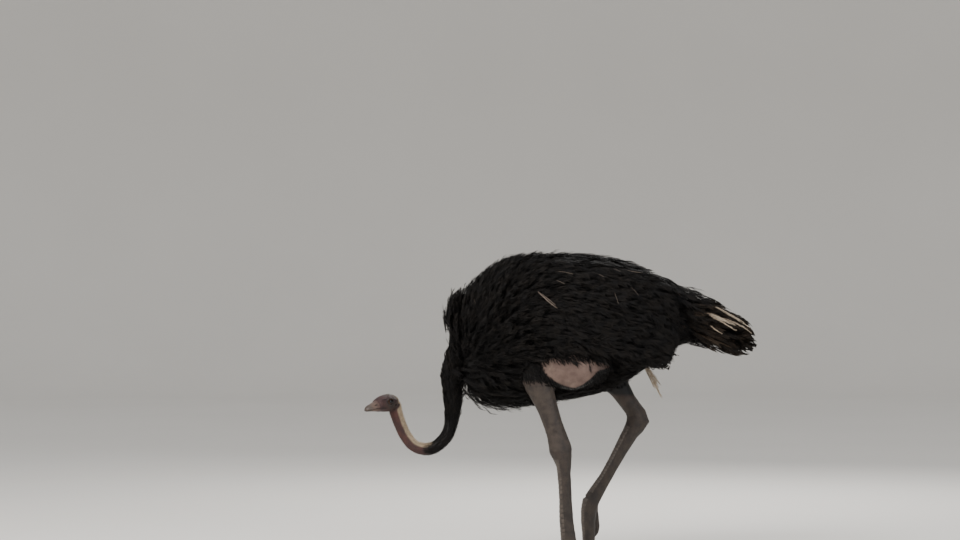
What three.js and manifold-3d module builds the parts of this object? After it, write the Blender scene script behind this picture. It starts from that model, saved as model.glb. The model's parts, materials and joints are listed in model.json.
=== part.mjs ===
// A cock ostrich at life size, walking with its neck let down in a deep U and its head raised
// in front of it. The bird faces -X, its left side is -Y, and the floor is Z = 0. Millimetres.
// The solids reach to the tips of the plumage. The standing leg is the left one. The right
// leg trails and touches the floor with the pad at the end of its big toe.

import * as THREE from 'three';
import { mergeVertices } from 'three/addons/utils/BufferGeometryUtils.js';
import Module from 'manifold-3d';

const wasm = await Module();
wasm.setup();

// ---------------------------------------------------------------- driving dimensions

const GAP = 0.3; // thin cut between neighbouring pieces
const BACK_HEIGHT = 1357; // floor to the top of the back plumage
const BELLY_HEIGHT = 690; // floor to the lowest belly plumage
const BODY_HALF_WIDTH = 232; // trunk plumage, without the wings
const TRUNK_POWER = 2.15; // how square the trunk's sections are; 2 is an ellipse
const WING_THICKNESS = 34; // how far the folded wing stands proud of the trunk
const WING_REAR = 330; // behind this the wing's tip hangs free of the narrowing rump
const STANCE_HALF_WIDTH = 104; // midline to the middle of each foot
const KNEE_SPREAD = 150; // midline to the knee, inside the plumage
const HOCK_SPREAD = 128;

const NECK_HALF_WIDTH = 27; // the bare part of the neck, across
const HEAD_DOWN = THREE.MathUtils.degToRad(4); // how far the bill points below level
const HEAD_TURN = THREE.MathUtils.degToRad(42); // how far the head turns to its left
const HEAD_JOINT = [-752, 0, 698]; // where the neck meets the skull
const EYE_RADIUS = 19.5;
const EYE_PLACE = [-48, 22.5, 9]; // in the head's own frame, mirrored for the other eye

const FLOOR_DEPTH = 200; // depth of the block that trims the soles flat

// Trunk sections: x, top, bottom, half width. The ends sit inside the neck and the tail.
const TRUNK = [
  [-524, 1060, 960, 34],
  [-514, 1134, 860, 84],
  [-480, 1180, 778, 122],
  [-420, 1226, 716, 158],
  [-335, 1290, BELLY_HEIGHT, 192],
  [-225, 1347, BELLY_HEIGHT - 2, 220],
  [-100, BACK_HEIGHT, 700, 235],
  [30, 1355, 716, BODY_HALF_WIDTH],
  [160, 1344, 744, 228],
  [280, 1318, 800, 212],
  [380, 1272, 868, 184],
  [460, 1238, 920, 142],
  [520, 1180, 985, 84],
  [545, 1120, 1040, 34],
];

// Tail sections, drooping from the rump.
const TAIL = [
  [470, 1180, 1010, 70],
  [530, 1206, 968, 112],
  [600, 1190, 944, 142],
  [655, 1162, 922, 152],
  [705, 1112, 911, 150],
  [762, 1084, 904, 132],
  [808, 1040, 912, 96],
  [828, 990, 928, 58],
  [833, 965, 940, 24],
];

// Wing: x, upper edge, lower edge.
const WING = [
  [-395, 1150, 1010],
  [-360, 1220, 950],
  [-280, 1276, 912],
  [-120, 1306, 896],
  [30, 1312, 906],
  [200, 1300, 880],
  [340, 1270, 852],
  [430, 1226, 862],
  [478, 1170, 904],
  [490, 1100, 985],
];

// The white plume that hangs below the rear of the right wing: x, y, z, half depth, half width.
const HANGING_PLUME = [
  [340, 176, 872, 14, 10],
  [364, 174, 842, 19, 9],
  [388, 172, 806, 20, 8],
  [408, 170, 770, 15, 6],
  [424, 170, 740, 6, 3],
];

// Neck: x, y, z, half depth in the plane of the U, half width across.
const NECK = [
  [-440, 0, 990, 80, 92],
  [-462, 0, 900, 62, 72],
  [-490, 0, 810, 56, 52],
  [-492, 0, 710, 45, 41],
  [-500, 0, 625, 36, 34],
  [-521, 0, 555, 31, 31],
  [-566, 0, 505, 29.5, 29],
  [-618, 0, 490, 28.5, 28],
  [-668, 0, 506, 28, NECK_HALF_WIDTH],
  [-702, 0, 548, 27.5, NECK_HALF_WIDTH],
  [-724, 0, 600, 29, NECK_HALF_WIDTH],
  [-741, 0, 650, 31, NECK_HALF_WIDTH],
  [-742, -2, 688, 30, NECK_HALF_WIDTH],
  [-747, -3, 712, 19, 19],
];
const NECK_CUTS = { base: 3.1 / 13, down: 4.7 / 13, back: 6.9 / 13, front: 9 / 13 };

// Legs, from the knee down: x, y, z, half depth fore and aft, half width across.
const LEFT_LEG = [
  [-150, -KNEE_SPREAD, 905, 92, 62],
  [-132, -KNEE_SPREAD + 2, 830, 80, 58],
  [-111, -KNEE_SPREAD + 5, 760, 59, 47],
  [-84, -KNEE_SPREAD + 10, 690, 47, 38],
  [-57, -KNEE_SPREAD + 16, 610, 42, 33],
  [-35, -HOCK_SPREAD, 545, 45, 35],
  [-23, -HOCK_SPREAD, 495, 51, 38],
  [-10, -HOCK_SPREAD + 2, 440, 35, 33],
  [-8, -HOCK_SPREAD + 5, 395, 30, 27],
  [-3, -HOCK_SPREAD + 9, 327, 28, 24],
  [0, -HOCK_SPREAD + 13, 255, 29, 24],
  [3, -HOCK_SPREAD + 17, 187, 31, 26],
  [11, -STANCE_HALF_WIDTH - 3, 115, 33, 31],
  [18, -STANCE_HALF_WIDTH, 62, 35, 34],
];
const LEFT_HOCK = 6 / 13;

const RIGHT_LEG = [
  [128, KNEE_SPREAD, 925, 88, 62],
  [168, KNEE_SPREAD - 2, 862, 78, 58],
  [212, KNEE_SPREAD - 6, 800, 62, 48],
  [247, KNEE_SPREAD - 12, 752, 49, 39],
  [280, KNEE_SPREAD - 18, 700, 41, 34],
  [314, HOCK_SPREAD, 652, 41, 34],
  [328, HOCK_SPREAD, 612, 53, 37],
  [301, HOCK_SPREAD - 2, 566, 38, 33],
  [266, HOCK_SPREAD - 5, 506, 33, 28],
  [228, HOCK_SPREAD - 10, 438, 29, 25],
  [190, HOCK_SPREAD - 15, 370, 28, 24],
  [150, HOCK_SPREAD - 20, 306, 32, 28],
  [122, STANCE_HALF_WIDTH, 262, 36, 33],
];
const RIGHT_HOCK = 6 / 12;

// Toes: x, y, z, half height, half width. The big toe carries the weight on a padded sole.
const LEFT_BIG_TOE = [
  [30, -STANCE_HALF_WIDTH + 1, 74, 33, 33],
  [-12, -STANCE_HALF_WIDTH + 3, 42, 36, 35],
  [-52, -STANCE_HALF_WIDTH + 5, 31, 33, 33],
  [-96, -STANCE_HALF_WIDTH + 7, 25, 29, 31],
  [-138, -STANCE_HALF_WIDTH + 8, 22, 26, 29],
  [-170, -STANCE_HALF_WIDTH + 8, 19, 22, 24],
  [-188, -STANCE_HALF_WIDTH + 8, 16, 13, 15],
];
const LEFT_OUTER_TOE = [
  [16, -STANCE_HALF_WIDTH - 18, 48, 24, 20],
  [-14, -STANCE_HALF_WIDTH - 34, 30, 24, 21],
  [-46, -STANCE_HALF_WIDTH - 50, 20, 22, 20],
  [-78, -STANCE_HALF_WIDTH - 64, 16, 19, 18],
  [-100, -STANCE_HALF_WIDTH - 73, 13, 14, 14],
  [-112, -STANCE_HALF_WIDTH - 78, 11, 7, 7],
];
const RIGHT_BIG_TOE = [
  [131, STANCE_HALF_WIDTH - 1, 274, 25, 24],
  [117, STANCE_HALF_WIDTH - 2, 252, 38, 34],
  [108, STANCE_HALF_WIDTH - 4, 212, 35, 34],
  [106, STANCE_HALF_WIDTH - 5, 168, 32, 33],
  [108, STANCE_HALF_WIDTH - 6, 120, 30, 31],
  [108, STANCE_HALF_WIDTH - 6, 76, 28, 29],
  [98, STANCE_HALF_WIDTH - 6, 38, 27, 27],
  [80, STANCE_HALF_WIDTH - 6, 17, 22, 22],
  [66, STANCE_HALF_WIDTH - 6, 12, 12, 13],
];
const RIGHT_OUTER_TOE = [
  [132, STANCE_HALF_WIDTH + 10, 262, 23, 19],
  [128, STANCE_HALF_WIDTH + 36, 204, 24, 20],
  [138, STANCE_HALF_WIDTH + 50, 160, 22, 19],
  [140, STANCE_HALF_WIDTH + 58, 122, 19, 17],
  [134, STANCE_HALF_WIDTH + 62, 100, 13, 13],
  [130, STANCE_HALF_WIDTH + 63, 90, 6, 6],
];
const LEFT_CLAW = [
  [-176, -STANCE_HALF_WIDTH + 8, 25, 13, 14],
  [-200, -STANCE_HALF_WIDTH + 8, 21, 12, 13],
  [-222, -STANCE_HALF_WIDTH + 8, 13, 8, 9],
  [-240, -STANCE_HALF_WIDTH + 8, 5.5, 3, 3],
];
const RIGHT_CLAW = [
  [84, STANCE_HALF_WIDTH - 6, 24, 13, 14],
  [60, STANCE_HALF_WIDTH - 6, 20, 12, 13],
  [38, STANCE_HALF_WIDTH - 6, 12, 8, 9],
  [20, STANCE_HALF_WIDTH - 6, 5, 3, 3],
];

// Thighs: the bare flank above each drumstick.
const LEFT_THIGH = { centre: [0, -152, 880], radii: [200, 76, 128], lean: 0.12 };
const RIGHT_THIGH = { centre: [128, 152, 892], radii: [185, 76, 124], lean: 0.3 };

// Head sections in the head's own frame, origin at the neck joint: x, top, bottom, half width.
const SKULL = [
  [15, 8, -14, 14],
  [8, 22, -25, 26],
  [-8, 33, -33, 34],
  [-30, 38, -37, 38],
  [-50, 40, -38, 38],
  [-68, 36, -37, 35],
  [-84, 28, -34, 32],
  [-97, 20, -31, 29],
];
const UPPER_BILL = [
  [-80, 25, -12, 26],
  [-98, 19.5, -13, 28.5],
  [-120, 11, -14, 26.5],
  [-140, 4, -16, 23],
  [-154, -3, -18.5, 18],
  [-163, -10, -20.5, 11.5],
  [-167, -15, -21, 5],
];
const LOWER_BILL = [
  [-76, -16, -34, 26],
  [-98, -14.4, -31, 27],
  [-120, -15.4, -28.5, 24.5],
  [-140, -17.4, -26, 20.5],
  [-153, -19.6, -25, 15.5],
  [-162, -21.4, -24.2, 8.5],
];

// ---------------------------------------------------------------- colours of the pieces

const finish = (color, roughness = 0.85) => new THREE.MeshStandardMaterial({ color, roughness, metalness: 0 });
const PLUMAGE = 0x17151a;
const TAIL_PLUMAGE = 0x2a2523;
const PALE_PLUMAGE = 0xd8cfbf;
const NECK_SKIN = 0x7a5146;
const LEG_SKIN = 0x66594f;
const THIGH_SKIN = 0xa98d7c;
const HORN = 0x8a7460;
const EYE = 0x1a0f0a;

// ---------------------------------------------------------------- shaping functions

// Values of a row table at x, by a smooth curve through the rows.
function readAt(rows, x) {
  const rising = rows[rows.length - 1][0] > rows[0][0];
  let i = 0;
  while (i < rows.length - 2 && (rising ? x > rows[i + 1][0] : x < rows[i + 1][0])) i += 1;
  const slope = (k, column) => {
    const a = rows[Math.max(k - 1, 0)];
    const b = rows[Math.min(k + 1, rows.length - 1)];
    return (b[column] - a[column]) / (b[0] - a[0]);
  };
  const span = rows[i + 1][0] - rows[i][0];
  const t = THREE.MathUtils.clamp((x - rows[i][0]) / span, 0, 1);
  return rows[i].slice(1).map((value, k) => {
    const next = rows[i + 1][k + 1];
    const startSlope = slope(i, k + 1) * span;
    const endSlope = slope(i + 1, k + 1) * span;
    return (2 * t ** 3 - 3 * t ** 2 + 1) * value + (t ** 3 - 2 * t ** 2 + t) * startSlope
      + (3 * t ** 2 - 2 * t ** 3) * next + (t ** 3 - t ** 2) * endSlope;
  });
}

const squared = (value, power) => Math.sign(value) * Math.abs(value) ** (2 / power);

// Bends an upright cylinder: place(t, across, depth) puts each point, where t runs from one end
// to the other and (across, depth) goes round the unit section.
function bentCylinder(sides, steps, power, place) {
  const geometry = new THREE.CylinderGeometry(1, 1, 1, sides, steps);
  const points = geometry.attributes.position;
  for (let i = 0; i < points.count; i += 1) {
    const across = squared(points.getX(i), power);
    const depth = squared(points.getZ(i), power);
    const spot = place(0.5 - points.getY(i), across, depth);
    points.setXYZ(i, spot.x, spot.y, spot.z);
  }
  return geometry;
}

// A body whose sections stand across X, given as rows of x, top, bottom and half width.
function hull(rows, { sides = 20, steps = 12, power = 2, grow = 0 } = {}) {
  const first = rows[0][0];
  const last = rows[rows.length - 1][0];
  const outward = Math.sign(last - first) * grow;
  return bentCylinder(sides, steps, power, (t, across, depth) => {
    // Sections crowd together at both ends, where the body rounds off.
    const ease = 0.5 - 0.5 * Math.cos(Math.PI * t);
    const x = first + (last - first) * (0.45 * t + 0.55 * ease);
    const [top, bottom, half] = readAt(rows, x);
    const middle = (top + bottom) / 2;
    const end = t === 0 ? -outward : t === 1 ? outward : 0;
    return new THREE.Vector3(x + end, across * (half + grow), middle + depth * ((top - bottom) / 2 + grow));
  });
}

// A limb along a smooth line through rows of x, y, z, half depth and half width. The width
// stays level across the bird, or square to the line where the line turns aside.
function limb(rows, { sides = 14, steps = 10, from = 0, to = 1, power = 2, grow = 0, endGap = 0 } = {}) {
  const line = new THREE.CatmullRomCurve3(rows.map((r) => new THREE.Vector3(r[0], r[1], r[2])), false, 'catmullrom');
  const girth = new THREE.CatmullRomCurve3(rows.map((r) => new THREE.Vector3(r[3], r[4], 0)), false, 'catmullrom');
  return bentCylinder(sides, steps, power, (t, across, depth) => {
    const s = from + (to - from) * t;
    const spot = line.getPoint(s);
    const ahead = line.getTangent(s);
    const side = new THREE.Vector3(0, 1, 0).addScaledVector(ahead, -ahead.y).normalize();
    const up = new THREE.Vector3().crossVectors(ahead, side);
    const size = girth.getPoint(s);
    spot.addScaledVector(side, across * (size.y + grow));
    spot.addScaledVector(up, depth * (size.x + grow));
    const end = t === 0 ? -grow + endGap : t === 1 ? grow - endGap : 0;
    return spot.addScaledVector(ahead, end);
  });
}

// An egg-shaped muscle mass, leaning forward or back with its height.
function muscle({ centre, radii, lean }, grow = 0) {
  const geometry = new THREE.SphereGeometry(1, 16, 9);
  geometry.scale(radii[0] + grow, radii[1] + grow, radii[2] + grow);
  geometry.applyMatrix4(new THREE.Matrix4().makeShear(0, 0, 0, 0, -lean, 0));
  return geometry.translate(...centre);
}

// The folded wing: a curved slab hanging beside the trunk. side is -1 for left, 1 for right.
function wing(side) {
  const geometry = new THREE.BoxGeometry(1, 1, 1, 14, 1, 8);
  const points = geometry.attributes.position;
  const front = WING[0][0];
  const back = WING[WING.length - 1][0];
  for (let i = 0; i < points.count; i += 1) {
    const along = points.getX(i) + 0.5;
    const height = points.getZ(i) + 0.5;
    const x = front + (back - front) * (0.5 * along + 0.25 * (1 - Math.cos(Math.PI * along)));
    const [upper, lower] = readAt(WING, x);
    const z = lower + (upper - lower) * height;
    const [top, bottom, half] = readAt(TRUNK, Math.min(x, WING_REAR));
    const rise = (z - (top + bottom) / 2) / ((top - bottom) / 2);
    const tuckIn = rise > 0 ? 1 - Math.min(rise, 0.985) ** TRUNK_POWER : 1 - 0.3 * rise ** 2;
    const surface = half * tuckIn ** (1 / TRUNK_POWER) - Math.max(x - WING_REAR, 0) * 0.3;
    const swell = Math.sqrt(Math.sin(Math.PI * THREE.MathUtils.clamp(along, 0.02, 0.98)))
      * Math.sin(Math.PI * THREE.MathUtils.clamp(height, 0.04, 0.96)) ** 0.6;
    const outer = points.getY(i) * side > 0;
    const y = surface + (outer ? 3 + WING_THICKNESS * swell : -16 - 20 * swell);
    points.setXYZ(i, x, side * y, z);
  }
  return geometry;
}

function ball(radius, centre) {
  return new THREE.SphereGeometry(radius, 12, 8).translate(...centre);
}

// ---------------------------------------------------------------- solids

// A closed geometry as a manifold solid, with its faces turned outwards.
function solid(geometry) {
  const bare = geometry.clone();
  bare.deleteAttribute('normal');
  bare.deleteAttribute('uv');
  const merged = mergeVertices(bare, 1e-3);
  const vertProperties = Float32Array.from(merged.attributes.position.array);
  const corners = [];
  const index = merged.index.array;
  for (let i = 0; i < index.length; i += 3) {
    const [a, b, c] = [index[i], index[i + 1], index[i + 2]];
    if (a !== b && b !== c && a !== c) corners.push(a, b, c);
  }
  let volume = 0;
  const at = (k) => new THREE.Vector3().fromArray(vertProperties, 3 * k);
  for (let i = 0; i < corners.length; i += 3) {
    volume += at(corners[i]).dot(at(corners[i + 1]).cross(at(corners[i + 2])));
  }
  if (volume < 0) corners.reverse();
  return new wasm.Manifold(new wasm.Mesh({ numProp: 3, vertProperties, triVerts: Uint32Array.from(corners) }));
}

function piece(name, body, color, roughness) {
  const { vertProperties, triVerts } = body.getMesh();
  const geometry = new THREE.BufferGeometry();
  geometry.setAttribute('position', new THREE.BufferAttribute(Float32Array.from(vertProperties), 3));
  geometry.setIndex(Array.from(triVerts));
  geometry.computeVertexNormals();
  const mesh = new THREE.Mesh(geometry, finish(color, roughness));
  mesh.name = name;
  return mesh;
}

const bird = new THREE.Group();
const belowFloor = solid(new THREE.BoxGeometry(3000, 1000, FLOOR_DEPTH).translate(0, 0, -FLOOR_DEPTH / 2));

// Trunk, tail and wings

const trunkShape = { sides: 24, steps: 17, power: TRUNK_POWER };
const trunkSpace = solid(hull(TRUNK, { ...trunkShape, grow: GAP }));
const thighSpace = solid(muscle(LEFT_THIGH, GAP)).add(solid(muscle(RIGHT_THIGH, GAP)));
bird.add(piece('trunk', solid(hull(TRUNK, trunkShape)).subtract(thighSpace), PLUMAGE));

const tail = solid(hull(TAIL, { sides: 18, steps: 10 })).subtract(trunkSpace);
const tailSpace = solid(hull(TAIL, { sides: 18, steps: 10, grow: GAP }));
bird.add(piece('tail', tail, TAIL_PLUMAGE));

const plumeShape = { sides: 10, steps: 6 };
const plumeSpace = solid(limb(HANGING_PLUME, { ...plumeShape, grow: GAP }));
bird.add(piece('wing_plume_right', solid(limb(HANGING_PLUME, plumeShape)).subtract(trunkSpace), PALE_PLUMAGE));

for (const [side, name] of [[-1, 'wing_left'], [1, 'wing_right']]) {
  const space = trunkSpace.add(tailSpace).add(thighSpace).add(plumeSpace);
  bird.add(piece(name, solid(wing(side)).subtract(space), PLUMAGE));
}

// Head, with its bill and eyes, in a group of its own at the top of the neck

const head = new THREE.Group();
head.position.set(...HEAD_JOINT);
head.rotation.set(0, -HEAD_DOWN, HEAD_TURN, 'ZYX');
head.updateMatrixWorld();

const skullShape = { sides: 16, steps: 8, power: 2.1 };
const mirrored = ([x, y, z], side) => [x, side * y, z];
const billSpace = solid(hull(UPPER_BILL, { sides: 14, steps: 7, power: 2.3, grow: GAP }))
  .add(solid(hull(LOWER_BILL, { sides: 14, steps: 7, power: 2.3, grow: GAP })));
let skull = solid(hull(SKULL, skullShape)).subtract(billSpace);
for (const [side, name] of [[-1, 'eye_left'], [1, 'eye_right']]) {
  skull = skull.subtract(solid(ball(EYE_RADIUS + GAP, mirrored(EYE_PLACE, side))));
  head.add(piece(name, solid(ball(EYE_RADIUS, mirrored(EYE_PLACE, side))), EYE, 0.15));
}
head.add(piece('head', skull, NECK_SKIN));
head.add(piece('bill_upper', solid(hull(UPPER_BILL, { sides: 14, steps: 7, power: 2.3 })), HORN, 0.6));
head.add(piece('bill_lower', solid(hull(LOWER_BILL, { sides: 14, steps: 7, power: 2.3 })), HORN, 0.6));
bird.add(head);

// Neck, in five lengths along one line

const headSpace = solid(hull(SKULL, { ...skullShape, grow: GAP }).applyMatrix4(head.matrixWorld));
const neckLength = (from, to, steps) => solid(limb(NECK, { from, to, steps, sides: 14, endGap: GAP / 2 }));
const lengths = [
  ['neck_base', neckLength(0, NECK_CUTS.base, 6).subtract(trunkSpace)],
  ['neck_lower', neckLength(NECK_CUTS.base, NECK_CUTS.down, 4)],
  ['neck_bend_back', neckLength(NECK_CUTS.down, NECK_CUTS.back, 6)],
  ['neck_bend_front', neckLength(NECK_CUTS.back, NECK_CUTS.front, 6)],
  ['neck_upper', neckLength(NECK_CUTS.front, 1, 6).subtract(headSpace)],
];
for (const [name, body] of lengths) bird.add(piece(name, body, name === 'neck_base' ? PLUMAGE : NECK_SKIN));

// Legs

function leg(side, { rows, hock, thigh, bigToe, outerToe, claw }) {
  const upper = { from: 0, to: hock, steps: 9, endGap: GAP / 2 };
  const lower = { from: hock, to: 1, steps: 10, endGap: GAP / 2 };
  const shankSpace = solid(limb(rows, { ...lower, grow: GAP, endGap: -GAP }));
  const bigToeSpace = solid(limb(bigToe, { grow: GAP, steps: 8, sides: 12 }));
  const clawSpace = solid(limb(claw, { sides: 10, steps: 5, grow: GAP }));
  const nodes = [
    ['thigh', solid(muscle(thigh)), THIGH_SKIN],
    ['drumstick', solid(limb(rows, upper)).subtract(trunkSpace).subtract(thighSpace), LEG_SKIN],
    ['shank', solid(limb(rows, lower)), LEG_SKIN],
    ['toe_big', solid(limb(bigToe, { steps: 8, sides: 12 })).subtract(shankSpace).subtract(clawSpace).subtract(belowFloor), LEG_SKIN],
    ['toe_outer', solid(limb(outerToe, { sides: 10, steps: 6 })).subtract(shankSpace)
      .subtract(bigToeSpace).subtract(belowFloor), LEG_SKIN],
    ['claw', solid(limb(claw, { sides: 10, steps: 5 })).subtract(belowFloor), HORN],
  ];
  for (const [name, body, color] of nodes) bird.add(piece(`${name}_${side}`, body, color));
}

leg('left', {
  rows: LEFT_LEG, hock: LEFT_HOCK, thigh: LEFT_THIGH,
  bigToe: LEFT_BIG_TOE, outerToe: LEFT_OUTER_TOE, claw: LEFT_CLAW,
});
leg('right', {
  rows: RIGHT_LEG, hock: RIGHT_HOCK, thigh: RIGHT_THIGH,
  bigToe: RIGHT_BIG_TOE, outerToe: RIGHT_OUTER_TOE, claw: RIGHT_CLAW,
});

// The origin is on the floor under the middle of the bird.
const box = new THREE.Box3().setFromObject(bird);
const middle = box.getCenter(new THREE.Vector3());
bird.position.set(-middle.x, -middle.y, -box.min.z);

const ostrich = new THREE.Group();
ostrich.add(bird);

export default ostrich;
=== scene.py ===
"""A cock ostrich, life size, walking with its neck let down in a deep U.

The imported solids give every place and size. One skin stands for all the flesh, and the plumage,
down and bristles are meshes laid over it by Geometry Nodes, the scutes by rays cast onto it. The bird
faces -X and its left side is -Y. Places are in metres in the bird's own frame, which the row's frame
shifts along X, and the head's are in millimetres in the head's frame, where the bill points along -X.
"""
import json
import math

import bmesh
import bpy
import numpy as np
from mathutils import Matrix, Vector, noise
from mathutils.bvhtree import BVHTree

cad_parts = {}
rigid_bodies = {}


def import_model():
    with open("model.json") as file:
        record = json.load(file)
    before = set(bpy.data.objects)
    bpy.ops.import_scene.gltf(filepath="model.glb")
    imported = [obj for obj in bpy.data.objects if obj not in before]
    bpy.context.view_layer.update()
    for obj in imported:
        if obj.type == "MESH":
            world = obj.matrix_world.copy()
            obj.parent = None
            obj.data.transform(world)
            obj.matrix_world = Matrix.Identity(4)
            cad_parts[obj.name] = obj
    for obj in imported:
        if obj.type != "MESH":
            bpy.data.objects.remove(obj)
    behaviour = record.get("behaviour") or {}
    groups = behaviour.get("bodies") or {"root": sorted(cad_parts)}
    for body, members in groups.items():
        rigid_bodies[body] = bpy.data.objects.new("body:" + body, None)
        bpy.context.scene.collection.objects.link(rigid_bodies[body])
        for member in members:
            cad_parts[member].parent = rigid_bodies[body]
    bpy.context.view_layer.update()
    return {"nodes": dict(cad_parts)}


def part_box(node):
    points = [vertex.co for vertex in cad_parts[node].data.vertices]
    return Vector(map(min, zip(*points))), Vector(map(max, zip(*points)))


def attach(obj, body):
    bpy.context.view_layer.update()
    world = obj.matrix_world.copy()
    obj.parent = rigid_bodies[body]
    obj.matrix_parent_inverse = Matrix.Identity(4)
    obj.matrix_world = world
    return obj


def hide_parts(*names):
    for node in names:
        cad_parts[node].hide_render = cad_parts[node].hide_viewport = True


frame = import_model()

MM = 0.001
TRUNK_FRONT = -0.524  # the trunk's foremost point in the bird's own frame
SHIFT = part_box("trunk")[0].x - TRUNK_FRONT  # from the bird's own frame to the row's
SIDES = {"left": -1, "right": 1}  # and the sign of Y on each
FAR = 9.0  # stands for "nowhere near": more than any distance or share met on the bird


# ------------------------------------------------------------------ camera, floor and light

def make_camera():
    """A level view of the bird's left side, low and to the right in a wide frame."""
    view_width, distance, eye_height = 4.224, 12.0, 1.28
    middle_of_view = SHIFT - 0.374
    camera = bpy.data.objects.new("camera", bpy.data.cameras.new("camera"))
    camera.data.sensor_width = 36.0
    camera.data.lens = camera.data.sensor_width * distance / view_width
    camera.data.clip_end = 60.0
    camera.location = (middle_of_view, -distance, eye_height)
    camera.rotation_euler = (math.radians(90), 0, 0)
    bpy.context.collection.objects.link(camera)
    bpy.context.scene.camera = camera


def make_light(name, place, target, size, power, colour):
    """A round soft lamp that faces a target."""
    lamp = bpy.data.lights.new(name, "AREA")
    lamp.shape = "DISK"
    lamp.size = size
    lamp.energy = power
    lamp.color = colour
    holder = bpy.data.objects.new(name, lamp)
    holder.location = place
    aim = Vector(target) - Vector(place)
    holder.rotation_euler = aim.to_track_quat("-Z", "Y").to_euler()
    bpy.context.collection.objects.link(holder)


def make_studio():
    """Three lamps, a pale sky and a floor."""
    middle = (0.0, 0.0, 0.85)
    make_light("key_light", (-3.2, -3.8, 4.4), middle, 3.0, 420, (1.0, 0.97, 0.93))
    make_light("fill_light", (3.6, -4.2, 1.8), middle, 4.0, 130, (0.93, 0.96, 1.0))
    make_light("rim_light", (1.2, 3.9, 3.6), middle, 2.6, 180, (1.0, 0.98, 0.95))
    world = bpy.data.worlds.new("studio")
    world.use_nodes = True
    sky = world.node_tree.nodes["Background"]
    sky.inputs["Color"].default_value = (0.95, 0.955, 0.965, 1)
    sky.inputs["Strength"].default_value = 0.8
    bpy.context.scene.world = world
    floor = mesh_object("floor", *sweep_floor())
    floor.data.materials.append(floor_paint())


def sweep_floor():
    """A round pale floor that curves up into a wall far off on every side."""
    flat, cove, height, sides = 16.0, 3.5, 10.0, 96
    line = [(r, 0.0) for r in (0.5, 4.0, 8.0, 12.0, flat)]
    line += [(flat + cove * math.sin(a), cove - cove * math.cos(a))
             for a in np.linspace(0, math.pi / 2, 17)[1:]]
    line.append((flat + cove, height))
    turns = full_turn(sides)
    verts = [(r * math.cos(a), r * math.sin(a), z) for r, z in line for a in turns]
    faces = [(i * sides + j, (i + 1) * sides + j, (i + 1) * sides + k, i * sides + k)
             for i in range(len(line) - 1) for j, k in around(sides)]
    faces.append(tuple(range(sides)))
    return verts, faces


# ------------------------------------------------------------------ meshes

def full_turn(sides):
    """The angle of each side of a ring."""
    return np.linspace(0, 2 * math.pi, sides, endpoint=False)


def around(sides):
    """Each side of a ring with the one after it."""
    return [(j, (j + 1) % sides) for j in range(sides)]


def as_object(name, mesh):
    thing = bpy.data.objects.new(name, mesh)
    bpy.context.collection.objects.link(thing)
    return thing


def mesh_object(name, verts, faces):
    mesh = bpy.data.meshes.new(name)
    mesh.from_pydata([tuple(v) for v in verts], [], [tuple(f) for f in faces])
    mesh.shade_smooth()
    return as_object(name, mesh)


def settled(thing, name):
    """The object's mesh with its modifiers applied, as a new object. The old object goes."""
    bpy.context.view_layer.update()
    evaluated = thing.evaluated_get(bpy.context.evaluated_depsgraph_get())
    mesh = bpy.data.meshes.new_from_object(evaluated)
    mesh.name = name
    bpy.data.objects.remove(thing)
    return as_object(name, mesh)


def table_of(items, key, width, kind=float):
    """What each item of a mesh holds under a key, as the rows of an array."""
    table = np.empty(len(items) * width, kind)
    items.foreach_get(key, table)
    return table.reshape(-1, width)


def points_of(mesh):
    return table_of(mesh.vertices, "co", 3)


def normals_of(mesh):
    return table_of(mesh.vertices, "normal", 3)


def set_points(mesh, co):
    mesh.vertices.foreach_set("co", np.asarray(co, float).ravel())
    mesh.update()


def tree_of(mesh):
    """A mesh as a tree to cast rays on and to look up nearest points in."""
    return BVHTree.FromPolygons([v.co for v in mesh.vertices], [p.vertices[:] for p in mesh.polygons])


def store(mesh, name, values):
    """A named number or vector for each point of the mesh."""
    values = np.asarray(values, np.float32)
    kind = "FLOAT_VECTOR" if values.ndim == 2 else "FLOAT"
    layer = mesh.attributes.get(name) or mesh.attributes.new(name, kind, "POINT")
    layer.data.foreach_set("vector" if values.ndim == 2 else "value", values.ravel())


def ramp(value, low, high):
    """0 at low, 1 at high, and smooth between; low may be the larger of the two."""
    t = np.clip((np.asarray(value, float) - low) / (high - low), 0, 1)
    return t * t * (3 - 2 * t)


def relax(mesh, rounds, weight=None):
    """Evens out a mesh without shrinking it: one smoothing step in, one slightly longer step out."""
    co, pairs = points_of(mesh), table_of(mesh.edges, "vertices", 2, np.int32)
    count = np.maximum(np.bincount(pairs.ravel(), minlength=len(co)), 1)[:, None]
    weight = 1.0 if weight is None else weight[:, None]
    for _ in range(rounds):
        for step in (0.5, -0.52):
            total = np.stack([np.bincount(pairs[:, 0], co[pairs[:, 1], k], len(co))
                              + np.bincount(pairs[:, 1], co[pairs[:, 0], k], len(co)) for k in range(3)], 1)
            co = co + (total / count - co) * step * weight
    set_points(mesh, co)


def merged_copy(node, change=None):
    """A CAD node's shape as a merged bmesh, each point moved by change(co)."""
    shape = bmesh.new()
    shape.from_mesh(frame["nodes"][node].data)
    bmesh.ops.remove_doubles(shape, verts=shape.verts, dist=1e-5)
    if change:
        for vert in shape.verts:
            vert.co = change(vert.co)
    return shape


def shrunk(node, margins, shift=(0, 0, 0)):
    """A CAD node drawn in by a margin on each side, so that plumage has room over it."""
    low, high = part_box(node)
    middle, half = (low + high) / 2, (high - low) / 2
    scale = [max(1 - margin / h, 0.05) for margin, h in zip(margins, half)]
    shift = Vector(shift)
    return merged_copy(node, lambda co: middle + shift + Vector(
        (s * d for s, d in zip(scale, co - middle))))


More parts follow.
